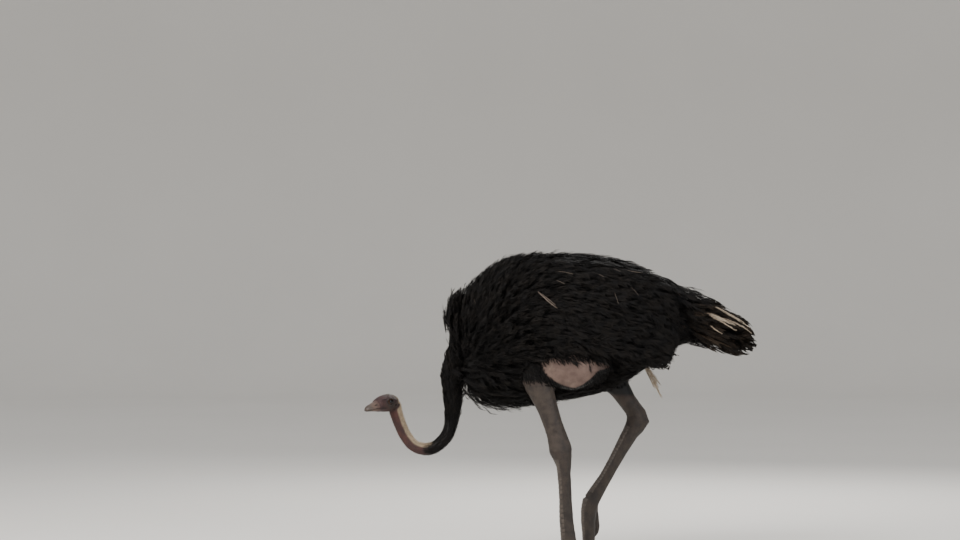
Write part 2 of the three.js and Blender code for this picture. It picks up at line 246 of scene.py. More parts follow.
def joined(name, shapes):
    """One object of several bmeshes, which are used up."""
    whole = bmesh.new()
    for shape in shapes:
        piece = bpy.data.meshes.new("part")
        shape.to_mesh(piece)
        shape.free()
        whole.from_mesh(piece)
        bpy.data.meshes.remove(piece)
    mesh = bpy.data.meshes.new(name)
    whole.to_mesh(mesh)
    whole.free()
    return as_object(name, mesh)


def as_bmesh(verts, faces):
    """A closed shape whose faces point outwards."""
    shape = bmesh.new()
    made = [shape.verts.new(v) for v in verts]
    for face in faces:
        shape.faces.new([made[i] for i in face])
    bmesh.ops.recalc_face_normals(shape, faces=shape.faces)
    return shape


def ball(centre, radii, lean):
    """An ellipsoid in the bird's own frame, leaning about the Y axis."""
    shape = bmesh.new()
    bmesh.ops.create_icosphere(shape, subdivisions=4, radius=1.0)
    place = (Matrix.Translation((centre[0] + SHIFT, centre[1], centre[2]))
             @ Matrix.Rotation(lean, 4, "Y") @ Matrix.Diagonal((*radii, 1)))
    bmesh.ops.transform(shape, matrix=place, verts=shape.verts)
    return shape


def fused(thing, name, voxel, rounds):
    """One closed and evened mesh round everything in the object."""
    remesh = thing.modifiers.new("fuse", "REMESH")
    remesh.mode = "VOXEL"
    remesh.voxel_size = voxel
    result = settled(thing, name)
    relax(result.data, rounds)
    return result


def united(first, second, name):
    """Two closed shapes as one."""
    join = first.modifiers.new("join", "BOOLEAN")
    join.operation = "UNION"
    join.solver = "MANIFOLD"
    join.object = second
    result = settled(first, name)
    bpy.data.objects.remove(second)
    return result


def curve_through(rows, t):
    """Values along a smooth curve through the rows, at t from 0 to 1."""
    rows = np.asarray(rows, float)
    t = np.clip(np.atleast_1d(t), 0, 1) * (len(rows) - 1)
    i = np.minimum(t.astype(int), len(rows) - 2)
    f = (t - i)[:, None]
    before, after = rows[np.maximum(i - 1, 0)], rows[np.minimum(i + 2, len(rows) - 1)]
    a, b = rows[i], rows[i + 1]
    return 0.5 * (2 * a + (b - before) * f + (2 * before - 5 * a + 4 * b - after) * f ** 2
                  + (3 * a - before - 3 * b + after) * f ** 3)


def ring_faces(rings, sides):
    """Quads between rings, and a fan at each end round the two extra points that follow them."""
    faces = [(i * sides + j, i * sides + k, (i + 1) * sides + k, (i + 1) * sides + j)
             for i in range(rings - 1) for j, k in around(sides)]
    first, last, end_ring = rings * sides, rings * sides + 1, (rings - 1) * sides
    for j, k in around(sides):
        faces += [(first, k, j), (last, end_ring + j, end_ring + k)]
    return faces


# ------------------------------------------------------------------ flesh under the skin

COAT_DEPTH = 0.045  # how deep the body plumage lies over the skin
WING_MARGINS = (0.07, 0.012, 0.06)  # how far each folded wing is drawn in
WING_INWARD = 0.036  # and how far it is moved towards the body
RUMP = {"centre": (0.52, 0, 1.085), "radii": (0.15, 0.06, 0.055), "lean": 0.35}
LEG_NODES = ("drumstick", "shank", "toe_big", "toe_outer")

# The neck's skin: x, z, half depth in the plane of the U and half width across it.
NECK_LINE = np.array([
    (-0.400, 1.010, 0.062, 0.066), (-0.462, 0.900, 0.044, 0.048), (-0.489, 0.810, 0.038, 0.036),
    (-0.491, 0.710, 0.032, 0.030), (-0.499, 0.625, 0.0275, 0.027), (-0.520, 0.556, 0.0255, 0.0255),
    (-0.565, 0.507, 0.0245, 0.024), (-0.617, 0.492, 0.024, 0.0235), (-0.666, 0.508, 0.0235, 0.0225),
    (-0.701, 0.549, 0.0235, 0.0225), (-0.725, 0.600, 0.024, 0.023), (-0.743, 0.650, 0.025, 0.024),
    (-0.750, 0.684, 0.025, 0.026), (-0.754, 0.700, 0.018, 0.019)])

# The head hangs a little and is turned towards the bird's left.
HEAD_DOWN, HEAD_TURN = math.radians(4), math.radians(42)
HEAD_JOINT = Vector((SHIFT - 0.752, 0, 0.698))
HEAD_PLACE = (Matrix.Translation(HEAD_JOINT) @ Matrix.Rotation(HEAD_TURN, 4, "Z")
              @ Matrix.Rotation(-HEAD_DOWN, 4, "Y"))

# Sections of the head in its own frame: x, top, bottom and half width.
FACE = np.array([
    (13, 6, -12, 10), (8, 18, -21, 21), (-4, 29, -29, 29), (-20, 34.5, -34, 33.5),
    (-38, 37.5, -36.5, 34), (-54, 37.5, -36, 33.3), (-70, 35.5, -34.5, 32.6), (-84, 31.5, -33, 31.8),
    (-94, 26.3, -32.4, 31.2), (-100, 22.0, -31.6, 29.7), (-103.5, 18.6, -29.8, 28.3), (-105.5, 13, -24, 22)])
EYE_AT = np.array([-48.0, 22.5, 9.0])  # the right eye's middle; the left eye's is its mirror image
EYE_RADIUS = 19.5
FACE_SQUARENESS = 2.2  # 2 would make the head's sections round

# The grid that fuses each mass of flesh, in metres, and the rounds of evening out after it.
FUSING = {"torso": (0.0105, 8), "legs": (0.0052, 5), "neck": (0.0032, 4), "head": (0.00158, 4)}


def tube(rows, sides, rings):
    """A closed tube in the plane of the neck's U, in the row's frame."""
    line = curve_through(rows, np.linspace(0, 1, rings))
    ahead = np.gradient(line[:, :2], axis=0)
    ahead /= np.linalg.norm(ahead, axis=1)[:, None]
    angle = full_turn(sides)
    across, depth = np.sin(angle), np.cos(angle)
    x = line[:, 0:1] - ahead[:, 1:2] * line[:, 2:3] * depth
    z = line[:, 1:2] + ahead[:, 0:1] * line[:, 2:3] * depth
    y = line[:, 3:4] * across
    verts = np.stack([x, y, z], 2).reshape(-1, 3)
    ends = np.array([(line[0, 0], 0, line[0, 1]), (line[-1, 0], 0, line[-1, 1])])
    return np.concatenate([verts, ends]) + (SHIFT, 0, 0), ring_faces(rings, sides)


def section_loft(rows, sides, rings):
    """A closed loft along X through sections of x, top, bottom and half width."""
    line = curve_through(rows, np.linspace(0, 1, rings))
    angle = full_turn(sides)
    across, depth = (np.sign(v) * np.abs(v) ** (2 / FACE_SQUARENESS) for v in (np.sin(angle), np.cos(angle)))
    middle, tall = (line[:, 1] + line[:, 2]) / 2, (line[:, 1] - line[:, 2]) / 2
    x = np.repeat(line[:, 0:1], sides, axis=1)
    y = line[:, 3:4] * across
    z = middle[:, None] + tall[:, None] * depth
    verts = np.stack([x, y, z], 2).reshape(-1, 3)
    ends = np.array([(line[0, 0], 0, middle[0]), (line[-1, 0], 0, middle[-1])])
    return np.concatenate([verts, ends]), ring_faces(rings, sides)


def in_head(co):
    """Points of the row's frame in the head's own frame, in millimetres."""
    turn = np.array(HEAD_PLACE.inverted())
    return (co @ turn[:3, :3].T + turn[:3, 3]) / MM


def from_head(co):
    """Points of the head's own frame, in millimetres, in the row's frame."""
    turn = np.array(HEAD_PLACE)
    return (np.asarray(co, float) * MM) @ turn[:3, :3].T + turn[:3, 3]


def torso_mass():
    """Trunk, folded wings and rump, as deep under the solids as the plumage lies."""
    shapes = [shrunk("trunk", (COAT_DEPTH, COAT_DEPTH * 1.05, COAT_DEPTH))]
    for side, sign in SIDES.items():
        shapes.append(shrunk(f"wing_{side}", WING_MARGINS, shift=(-0.01, -WING_INWARD * sign, 0.0)))
    shapes.append(ball(**RUMP))
    return joined("torso", shapes)


def leg_mass():
    """Thighs, legs and toes of both sides."""
    return joined("legs", [merged_copy(f"{node}_{side}")
                           for side in SIDES for node in ("thigh", *LEG_NODES)])


def head_mass():
    """The head with the swell of the lids over each eyeball."""
    verts, faces = section_loft(FACE, sides=96, rings=80)
    shapes = [as_bmesh(from_head(verts), faces)]
    for sign in SIDES.values():
        lids = bmesh.new()
        bmesh.ops.create_icosphere(lids, subdivisions=5, radius=LID_RADIUS)
        for vert in lids.verts:
            vert.co = from_head(np.array(vert.co) + EYE_AT * (1, sign, 1))
        shapes.append(lids)
    return joined("head", shapes)


def make_skin():
    """One closed skin over the torso, legs, neck and head, evened out where the head joins the neck."""
    neck_mass = joined("neck", [as_bmesh(*tube(NECK_LINE, sides=40, rings=150))])
    skin, *others = (fused(mass, name, *FUSING[name]) for mass, name in zip(
        (torso_mass(), leg_mass(), neck_mass, head_mass()), FUSING))
    for other in others:
        skin = united(skin, other, "skin")
    at = in_head(points_of(skin.data))
    joint = ramp(np.linalg.norm(at * (1, 0.6, 0.6), axis=1), 26, 14)
    relax(skin.data, 10, joint)
    return skin


# ------------------------------------------------------------------ relief of the skin

def swell(distance, width):
    """A soft bump: 1 at no distance, near 0 past the width."""
    return np.exp(-(distance / width) ** 2)


def crinkle(co, scale, seed=0.0):
    """Smooth noise from -1 to 1 at each point, with a scale for each axis."""
    places = np.asarray(co, float) * scale + seed
    return np.array([noise.noise(Vector(p)) for p in places])


EYE_OPENING = (math.radians(50), math.radians(41))  # half the gap of the lids, lengthwise and upwards
LID_ROUNDNESS = 2.5  # 2 would make the gap an ellipse
LID_RADIUS = 20.9
LID_MARGIN = 1.25  # half the thickness of the upper lid's edge
SUNK_RADIUS = 16.5  # how far in the skin goes behind the eyeball's front
LASH_ARC = (math.radians(14), math.radians(166))


def off_ear(at, length=4.2, height=5.4):
    """How far a point of the head is from the ear opening: 1 on the ellipse with these half axes."""
    return np.hypot((at[:, 0] + 17) / length, (at[:, 2] + 8) / height)


def off_mouth(at):
    """How far above or below the mouth's crease a point of the head is."""
    return np.abs(at[:, 2] + 15.5 + 0.0022 * (at[:, 0] + 100) ** 2)


def eye_middle(sign):
    return Vector(EYE_AT * (1, sign, 1))


def eye_axes(sign):
    """The ways out of the eye, forward along the lids and up, in the head's frame."""
    out = Vector((-0.12, sign, 0.05)).normalized()
    fore = (Vector((-1, 0, 0)) - out * Vector((-1, 0, 0)).dot(out)).normalized()
    return out, fore, out.cross(fore) * sign


def eye_angles(at, sign):
    """Distance from the eye's middle, how far round it a point lies (1 on the lids' edge) and how high."""
    out, fore, over = (np.array(v) for v in eye_axes(sign))
    away = at - np.array(eye_middle(sign))
    toward = away @ out
    side, up = np.arctan2(away @ fore, toward), np.arctan2(away @ over, toward)
    wide, tall = (np.abs(turn) / half for turn, half in zip((side, up), EYE_OPENING))
    level = (wide ** LID_ROUNDNESS + tall ** LID_ROUNDNESS) ** (1 / LID_ROUNDNESS)
    level[toward < 0] = FAR
    return np.linalg.norm(away, axis=1), level, up, away


def lid_way(sign, turn):
    """The way from the eye's middle to one place on the lids' edge, in the head's frame."""
    out, fore, over = eye_axes(sign)
    side, up = (half * math.copysign(abs(part) ** (2 / LID_ROUNDNESS), part)
                for half, part in zip(EYE_OPENING, (math.cos(turn), math.sin(turn))))
    return (out + fore * math.tan(side) + over * math.tan(up)).normalized()


def lid_edge(sign):
    """The margin of the lids: a round rim along their edge."""
    over, middle = eye_axes(sign)[2], eye_middle(sign)
    rings, sides = 80, 8
    turns = full_turn(rings)
    path = [middle + lid_way(sign, turn) * (LID_RADIUS - 0.2) for turn in turns]
    verts = []
    for i, point in enumerate(path):
        ahead = (path[(i + 1) % rings] - path[i - 1]).normalized()
        outward = (point - middle).normalized()
        across = ahead.cross(outward)
        thick = LID_MARGIN if (point - middle).dot(over) > 0 else 1.0
        for turn in full_turn(sides):
            verts.append(point + outward * math.cos(turn) * thick + across * math.sin(turn) * thick * 1.3)
    faces = [(i * sides + j, i * sides + k, after * sides + k, after * sides + j)
             for i, after in around(rings) for j, k in around(sides)]
    return as_bmesh(from_head(np.array(verts)), faces)


def shape_face(skin):
    """Opens the lids over the eyes and adds ear openings, brows, mouth corners and folds."""
    mesh = skin.data
    co, out = points_of(mesh), normals_of(mesh)
    at = in_head(co)
    near = np.flatnonzero((np.abs(at - (-45, 0, 0)) < (75, 50, 50)).all(1))
    at, way = at[near], out[near] @ np.array(HEAD_PLACE.to_3x3())
    push = 0.35 * crinkle(at, (0.11, 0.11, 0.16)) + 0.22 * crinkle(at, 0.33)
    for sign in SIDES.values():
        radius, level, up, away = eye_angles(at, sign)
        beside = ramp(at[:, 1] * sign, 8, 18)
        ear = off_ear(at)
        push += beside * (-5.5 * ramp(ear, 1.25, 0.55) + 0.9 * swell(ear - 1.5, 0.4))
        lid_fold = np.where(up > 0, 1.0, 0.55)
        push -= 0.95 * lid_fold * swell(level - 1.50, 0.10) * ramp(level, FAR, 5)
        push += 0.5 * lid_fold * swell(level - 1.28, 0.14)
        push += 1.5 * beside * ramp(up, 0.1, 0.6) * swell(level - 1.95, 0.30)
        mouth = off_mouth(at)
        push -= 2.3 * beside * swell(mouth, 1.15) * ramp(at[:, 0], -58, -64)
        push += 0.7 * beside * swell(mouth - 3.0, 1.7) * ramp(at[:, 0], -56, -66)
        lore = np.hypot((at[:, 0] + 79) / 9, (at[:, 2] - 6) / 8)
        push -= 1.6 * beside * ramp(lore, 1.2, 0.0)
    jaw = ramp(at[:, 2], -22, -32) * ramp(at[:, 0], -84, -60)
    push += 0.7 * jaw * np.sin(at[:, 1] * 0.55 + 1.5 * crinkle(at, 0.06))
    at = at + way * push[:, None]
    for sign in SIDES.values():
        radius, level, up, away = eye_angles(at, sign)
        sunk = SUNK_RADIUS / np.maximum(radius, 1)
        factor = 1 + (sunk - 1) * ramp(level, 1.03, 0.90)
        at = at + away * (factor - 1)[:, None]
    co[near] = from_head(at)
    set_points(mesh, co)
    rims = joined("lid_edges", [lid_edge(sign) for sign in SIDES.values()])
    return united(skin, rims, "skin")


HEM = {"left": 0.785, "right": 0.712}  # how low the plumage of each thigh reaches
HOCKS = {"left": (-0.023, -0.128, 0.495), "right": (0.328, 0.128, 0.612)}


class Zones:
    """Where each point of the skin lies on the bird, in the bird's own frame."""

    def __init__(self, mesh):
        self.co, self.out = points_of(mesh), normals_of(mesh)
        mesh.calc_loop_triangles()
        self.tris = table_of(mesh.loop_triangles, "vertices", 3, np.int32)
        self.x, self.y, self.z = self.co[:, 0] - SHIFT, self.co[:, 1], self.co[:, 2]
        self.find_neck()
        self.leg = 1 - ramp(self.off_nodes(LEG_NODES), 0.003, 0.006)
        self.thigh = (1 - ramp(self.off_nodes(("thigh",)), 0.003, 0.006)) * (self.leg < 0.5)
        at = self.face = in_head(self.co)
        self.head = ramp(np.abs(at[:, 1]), 60, 50) * ramp(np.abs(at[:, 0] + 50), 72, 62)
        self.head *= ramp(np.abs(at[:, 2]), 60, 45) * ramp(at[:, 2] - at[:, 0] * 0.9, -30, -14)
        flank = [np.where((self.y * sign > 0.06) & (self.z < 0.95), beside_patch(self.x, self.z, side), FAR)
                 for side, sign in SIDES.items()]
        turned_under = 0.035 * (0.34 - np.abs(self.out[:, 1]))
        self.patch = np.maximum(np.minimum(*flank), turned_under)
        self.hem = np.where(self.y < 0, HEM["left"], HEM["right"])
        self.limb = (self.leg > 0.5) | (self.thigh > 0.5)
        # the pale stripe on the inner side of the U: pale skin and down of the nape, set there only as the
        # lit side of the neck, so partly painted light
        self.pale_lit_stripe = ramp(self.nape, 0.22, 0.58) * ramp(self.along, 0.555, 0.615)
        self.hindward = np.array(HEAD_PLACE.to_3x3() @ Vector((1, 0, 0)))

    def off_nodes(self, kinds):
        """Distance from each point of the lower body to the nearest of these CAD nodes."""
        trees = [tree_of(frame["nodes"][f"{kind}_{side}"].data) for side in SIDES for kind in kinds]
        off = np.full(len(self.co), FAR)
        for i in np.flatnonzero((self.z < 1.05) & (self.x > -0.35)):
            point = Vector(self.co[i])
            for tree in trees:
                hit = tree.find_nearest(point, min(off[i], 0.01))
                if hit[0] is not None:
                    off[i] = min(off[i], hit[3])
        return off

    def find_neck(self):
        """How far along the neck each point lies, in metres from its root, and how far off it."""
        line = curve_through(NECK_LINE, np.linspace(0, 1, 260))
        steps = np.linalg.norm(np.diff(line[:, :2], axis=0), axis=1)
        length = np.concatenate([[0], np.cumsum(steps)])
        self.neck_length = length[-1]
        ahead = np.gradient(line[:, :2], axis=0)
        ahead /= np.linalg.norm(ahead, axis=1)[:, None]
        near = np.flatnonzero(self.x < -0.36)
        gap = (self.x[near, None] - line[:, 0]) ** 2 + (self.z[near, None] - line[:, 1]) ** 2
        best = gap.argmin(1)
        size = len(self.co)
        self.along, self.ahead, nape = np.zeros(size), np.zeros((size, 3)), np.zeros(size)
        self.along[near] = length[best]
        self.ahead[near, 0], self.ahead[near, 2] = ahead[best, 0], ahead[best, 1]
        right, up = self.x[near] - line[best, 0], self.z[near] - line[best, 1]
        aside = right * ahead[best, 1] - up * ahead[best, 0]
        off = np.sqrt(aside ** 2 + self.y[near] ** 2)
        reach = line[best, 2] + 0.004
        within = np.zeros(size)
        within[near] = (off < reach) * ramp(length[best], 0.16, 0.22)
        self.neck = within
        nape[near] = aside / np.maximum(off, 1e-4)
        self.nape = nape  # 1 on the inner side of the U, where the nape is, -1 on the throat
        self.round = np.arctan2(self.y, np.where(nape == 0, 1, nape) * 0.03)


PATCH_BACK = {"left": 0.0, "right": 0.128}  # the right flank's bare patch is further back

# The edge of the bare skin on the left flank: x and z.
PATCH = np.array([
    (-0.112, 0.872), (-0.100, 0.896), (-0.050, 0.901), (-0.012, 0.893), (0.010, 0.912), (0.050, 0.915),
    (0.094, 0.902), (0.130, 0.884), (0.172, 0.876), (0.205, 0.862), (0.180, 0.852), (0.140, 0.842),
    (0.112, 0.812), (0.074, 0.782), (0.036, 0.764), (-0.010, 0.776), (-0.060, 0.799), (-0.100, 0.836)])


def beside_patch(x, z, side):
    """Metres from the edge of the bare patch of the flank: below 0 on it, above 0 outside it."""
    at = np.stack([x - PATCH_BACK[side], z], 1)
    off, inside = np.full(len(at), FAR), np.zeros(len(at), bool)
    for a, b in zip(PATCH, np.roll(PATCH, -1, axis=0)):
        along = np.clip(((at - a) @ (b - a)) / ((b - a) @ (b - a)), 0, 1)
        off = np.minimum(off, np.linalg.norm(at - a - along[:, None] * (b - a), axis=1))
        spans = (a[1] > at[:, 1]) != (b[1] > at[:, 1])
        if a[1] != b[1]:
            cross = (b[0] - a[0]) * (at[:, 1] - a[1]) / (b[1] - a[1]) + a[0]
            inside ^= spans & (at[:, 0] < cross)
    return np.where(inside, -off, off)


def shape_neck_and_legs(skin, zones):
    """Rings and folds round the neck, knobs and tendons at the hocks, slack skin on the thighs."""
    co = zones.co
    push = np.zeros(len(co))
    on_neck = np.flatnonzero((zones.neck > 0.5) & (zones.head < 0.5))
    round_neck = np.stack([zones.along[on_neck], zones.nape[on_neck], zones.y[on_neck]], 1)
    push[on_neck] += 0.00055 * crinkle(round_neck, (105, 1.1, 30))
    push[on_neck] += 0.00030 * crinkle(round_neck, (260, 2.5, 70), 7.0)
    windpipe = swell(zones.nape[on_neck] + 1, 0.22)
    push[on_neck] += 0.0022 * windpipe * (1 + 0.25 * np.sin(zones.along[on_neck] * 2 * math.pi / 0.0075))
    on_leg = np.flatnonzero(zones.leg > 0.5)
    leg_co = co[on_leg]
    push[on_leg] += 0.0005 * crinkle(leg_co, (60, 60, 130)) + 0.0009 * crinkle(leg_co, 24, 3.0)
    for hx, hy, hz in HOCKS.values():
        away = leg_co - (hx + SHIFT, hy, hz)
        ring = swell(np.abs(away[:, 2]), 0.05) * (np.sign(away[:, 1]) == np.sign(leg_co[:, 1] - hy))
        for across in (-1, 1):
            knob = np.linalg.norm((away - (-0.010, 0.024 * across, 0.012)) / (0.022, 0.016, 0.026), axis=1)
            push[on_leg] += 0.0045 * swell(knob, 0.85)
            pit = np.linalg.norm((away - (0.022, 0.024 * across, 0.000)) / (0.013, 0.018, 0.060), axis=1)
            push[on_leg] -= 0.0040 * swell(pit, 1.0)
        waver = 2 * crinkle(leg_co, 30, 5.0)
        push[on_leg] += 0.0006 * ring * np.sin(away[:, 2] * 2 * math.pi / 0.011 + waver)
    on_thigh = np.flatnonzero(zones.thigh > 0.5)
    slack = crinkle(co[on_thigh], (22, 22, 46), 1.0)
    push[on_thigh] += 0.0011 * slack + 0.0005 * crinkle(co[on_thigh], 75, 4.0)
    push[on_thigh] -= 0.010 * ramp(zones.patch[on_thigh], 0.0, 0.03)
    co = co + zones.out * push[:, None]
    co[:, 2] = np.maximum(co[:, 2], 0.0)
    set_points(skin.data, co)
    zones.co = points_of(skin.data)
    zones.out = normals_of(skin.data)


# ------------------------------------------------------------------ eyes, bill and claws

IRIS = math.radians(53)  # how far round the eyeball the iris reaches from its front
CORNEA = 0.9  # how far the cornea swells at its middle


def eyeball(name, sign):
    """One eye: a ball with the cornea's swell. Ring is 0 in the pupil's middle and 1 at the iris's rim."""
    out, fore, over = eye_axes(sign)
    middle = eye_middle(sign)
    rings, sides, hole = 56, 64, 0.012
    verts, ring, spoke = [], [], []
    for bend in np.linspace(hole, math.pi - hole, rings):
        radius = EYE_RADIUS + CORNEA * max(0.0, 1 - (bend / (IRIS * 1.05)) ** 2)
        for turn in full_turn(sides):
            aside = fore * math.cos(turn) + over * math.sin(turn)
            verts.append(middle + (out * math.cos(bend) + aside * math.sin(bend)) * radius)
            ring.append(bend / IRIS)
            spoke.append((math.cos(turn), math.sin(turn), 0.0))
    verts += [middle + out * (EYE_RADIUS + CORNEA), middle - out * EYE_RADIUS]
    ring += [0.0, math.pi / IRIS]
    spoke += [(0, 0, 0), (0, 0, 0)]
    return marked_shape(name, from_head(np.array(verts)), ring_faces(rings, sides), ring=ring, spoke=spoke)


def marked_shape(name, verts, faces, **marks):
    """A smooth closed piece with a number or vector of each name stored at each of its points."""
    thing = joined(name, [as_bmesh(verts, faces)])
    for key, values in marks.items():
        store(thing.data, key, values)
    thing.data.shade_smooth()
    return thing


# Sections of the bill in the head's frame: x, top, bottom and half width.
UPPER_BILL = np.array([
    (-80, 22, -12, 25.5), (-98, 19.2, -13, 28.3), (-120, 10.0, -14, 26.8), (-140, 3, -16, 23.6),
    (-154, -3, -18.5, 18), (-163, -10, -20.5, 11.5), (-166.6, -15, -21, 5)])
LOWER_BILL = np.array([
    (-76, -16, -29.0, 23.0), (-98, -14.4, -30.6, 26.7), (-120, -15.4, -28.4, 24.4),
    (-140, -17.4, -26, 20.5), (-153, -19.6, -25, 15.5), (-161.5, -21.4, -24.2, 8.5)])


def bill_half(rows, upper):
    """One half of the bill: horn that is domed outside and hollowed a little inside the mouth."""
    rings, sides = 70, 96
    line = curve_through(rows, np.linspace(0, 1, rings))
    verts, hollow = [], []
    for x, top, bottom, half in line:
        edge = bottom if upper else top
        dome = top if upper else bottom
        for turn in full_turn(sides):
            across, rise = math.cos(turn), math.sin(turn)
            y = half * math.copysign(abs(across) ** 0.8, across)
            pit = 0.0
            if rise >= 0:
                z = edge + (dome - edge) * rise ** 0.9
                out = Vector((0, across / half, rise / (dome - edge))).normalized()
                height, pit = bill_relief(x, abs(y) / half, rise, upper)
                y, z = y + out.y * height, z + out.z * height
            else:
                z = edge + (1.6 if upper else -1.6) * rise * rise
            verts.append((x, y, z))
            hollow.append(pit)
    root, tip = line[0], line[-1]
    ends = [(root[0], 0, (root[1] + root[2]) / 2), (tip[0] - 0.5, 0, (tip[1] + tip[2]) / 2)]
    return np.array(verts + ends), ring_faces(rings, sides), hollow + [0, 0]


NOSTRIL_X, NOSTRIL_WIDE = -119, 0.82  # along the bill, and the share of its half width


def bill_relief(x, wide, rise, upper):
    """How high ridge, grooves, nostril and nail stand on the outside of the bill, and how much of the
    nostril's pit is painted with shade.
    """
    if not upper:
        nail = 0.5 * ramp(x, -136, -142) * ramp(wide, 0.75, 0.45)
        return float((nail + 0.10 * math.sin(x * 0.9) * ramp(x, -100, -112)) * rise), 0.0
    ridge = 1.3 * ramp(wide, 0.42, 0.24) * ramp(x, -92, -104) * ramp(x, -158, -148)
    lean = wide - NOSTRIL_WIDE - 0.0016 * (x - NOSTRIL_X)
    groove = -0.9 * swell(lean, 0.10) * ramp(x, -146, -136) * ramp(x, -96, -104)
    hole = math.hypot((x - NOSTRIL_X) / 8.0, lean / 0.065)
    # painted shade: the nostril's pit is painted near black
    pit = ramp(hole, 1.20, 0.60)
    nostril = -3.0 * pit + 0.6 * swell(hole - 1.6, 0.4)
    nail = 0.9 * ramp(x, -141, -146) * ramp(wide, 0.85, 0.6)
    return float((ridge + groove + nostril + nail) * min(1.0, rise * 1.6)), float(pit)


def make_bill():
    """Both halves of the bill, with a fine gap between them."""
    made = []
    for name, rows, upper in (("upper_bill", UPPER_BILL, True), ("lower_bill", LOWER_BILL, False)):
        verts, faces, hollow = bill_half(rows, upper)
        tip = ramp(verts[:, 0], -90, -166)
        made.append(marked_shape(name, from_head(verts), faces, tip=tip, hollow=hollow))
    return made


def make_claw(side):
    """A blunt hoof-like nail with growth rings, in the space of its solid."""
    low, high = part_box(f"claw_{side}")
    length, half, middle = high.x - low.x, (high.y - low.y) / 2, (low.y + high.y) / 2
    rings, sides = 48, 40
    verts = []
    for t in np.linspace(0, 1, rings):
        x = high.x - length * t
        top = low.z + (high.z - low.z) * (1 - 0.80 * t ** 1.6)
        wide = half * (1 - 0.62 * t ** 2.2) * (1 + 0.012 * math.sin(t * 60))
        base = low.z + 0.0008 * t
        for turn in full_turn(sides):
            across, rise = math.sin(turn), math.cos(turn)
            y = wide * math.copysign(abs(across) ** 0.75, across)
            if rise > 0:
                z = base + (top - base) * (0.35 + 0.65 * rise ** 0.8)
            else:
                z = base + (top - base) * 0.35 * (1 - abs(rise) ** 0.5)
            verts.append((x, middle + y, max(z, 0.0)))
    ends = [(high.x, middle, (low.z + high.z) / 2), (low.x, middle, low.z + 0.003)]
    verts = np.array(verts + ends)
    return marked_shape(f"toenail_{side}", verts, ring_faces(rings, sides),
                        tip=(high.x - verts[:, 0]) / length, hollow=np.zeros(len(verts)))


# ------------------------------------------------------------------ plumes, down, bristles and scutes

def leaf_strip(points, across, widths):
    """A flat strip along points that ends in a point: verts and faces."""
    verts, faces = [], []
    for point, width in zip(points[:-1], widths):
        verts += [point - across * width, point + across * width]
    verts.append(points[-1])
    for i in range(len(points) - 2):
        faces.append((2 * i, 2 * i + 1, 2 * i + 3, 2 * i + 2))
    last = len(verts) - 1
    faces.append((last - 2, last - 1, last))
    return verts, faces


class Tuft:
    """A small mesh to scatter: its root is at 0, it grows along +X and its outer side is +Z."""

    def __init__(self, name, length, width):
        self.name, self.length, self.width = name, length, width
        self.verts, self.faces, self.along = [], [], []

    def take(self, part, where):
        base = len(self.verts)
        self.verts.extend(part[0])
        self.along.extend(where)
        self.faces.extend(tuple(base + i for i in face) for face in part[1])

    def blade(self, points, across, widths, start=0.0):
        """A tapering blade whose place along the tuft runs from start to 1."""
        where = np.linspace(start, 1, len(points))
        self.take(leaf_strip(points, across, widths), np.append(np.repeat(where[:-1], 2), where[-1]))

    def made(self):
        thing = mesh_object(self.name, self.verts, self.faces)
        co = points_of(thing.data)
        store(thing.data, "along", np.array(self.along))
        flat = np.stack([co[:, 0] / self.length - 0.5, co[:, 1] / (self.width * 2), 0 * co[:, 0]], 1)
        store(thing.data, "spot", np.clip(flat, -0.5, 0.5))
        return thing


def plume(name, length, width, barbs, seed, rise=0.16, droop=0.12, flick=0.0, loose=0.14,
          blunt=0.7, thick=0.34):
    """A lax plume: a fine shaft with soft barbs on both sides, which part into locks of four at their ends.

    It rises and droops along its length and may flick at its tip. Loose barbs stand off its plane, a
    blunt plume stays wide to its tip, and thick is a barb's half width over the barbs' spacing.
    """
    dice = np.random.default_rng(seed)
    bow, steps, lock_size = dice.uniform(-0.10, 0.10), 2, 4

    def shaft(t):
        rises = rise * t - droop * t * t + flick * t ** 4
        return np.array([length * t * (1 - 0.05 * t), bow * length * t * t, length * rises])

    tuft = Tuft(name, length, width)
    spots = np.linspace(0, 1, 5)
    tuft.blade([shaft(t) for t in spots], np.array([0, 1, 0]), length * 0.008 * (1.1 - spots[:-1]))
    for side in (-1, 1):
        lock = 0.0
        for k in range(barbs):
            t = 0.05 + 0.94 * (k + 0.8 * dice.random()) / barbs
            if k % lock_size == 0:
                lock, rear = dice.normal(0, 0.15), dice.uniform(0.72, 1.15)
            reach = width * (math.sin(math.pi * min(1, t * (1 - 0.60 * blunt) + 0.20)) ** 0.6) * rear
            reach *= dice.uniform(0.8, 1.15)
            swing = math.radians(dice.uniform(34, 58) * (1.15 - 0.60 * t)) + lock
            ahead = np.array([math.cos(swing), side * math.sin(swing), 0])
            lift = dice.normal(0, loose)
            curl = dice.uniform(0.10, 0.50)
            base, points = shaft(t), []
            for u in np.linspace(0, 1, steps + 1):
                sag = np.array([curl * u * u * reach, -side * 0.20 * u * u * reach,
                                reach * (lift * u - (0.20 + 0.8 * lift) * u * u)])
                points.append(base + ahead * reach * u + sag)
            across = np.array([-ahead[1] * side, ahead[0] * side, dice.normal(0, 0.45)])
            wide = length / barbs * thick
            tuft.blade(points, across, np.linspace(wide, wide * 0.8, steps), start=t)
    return tuft.made()


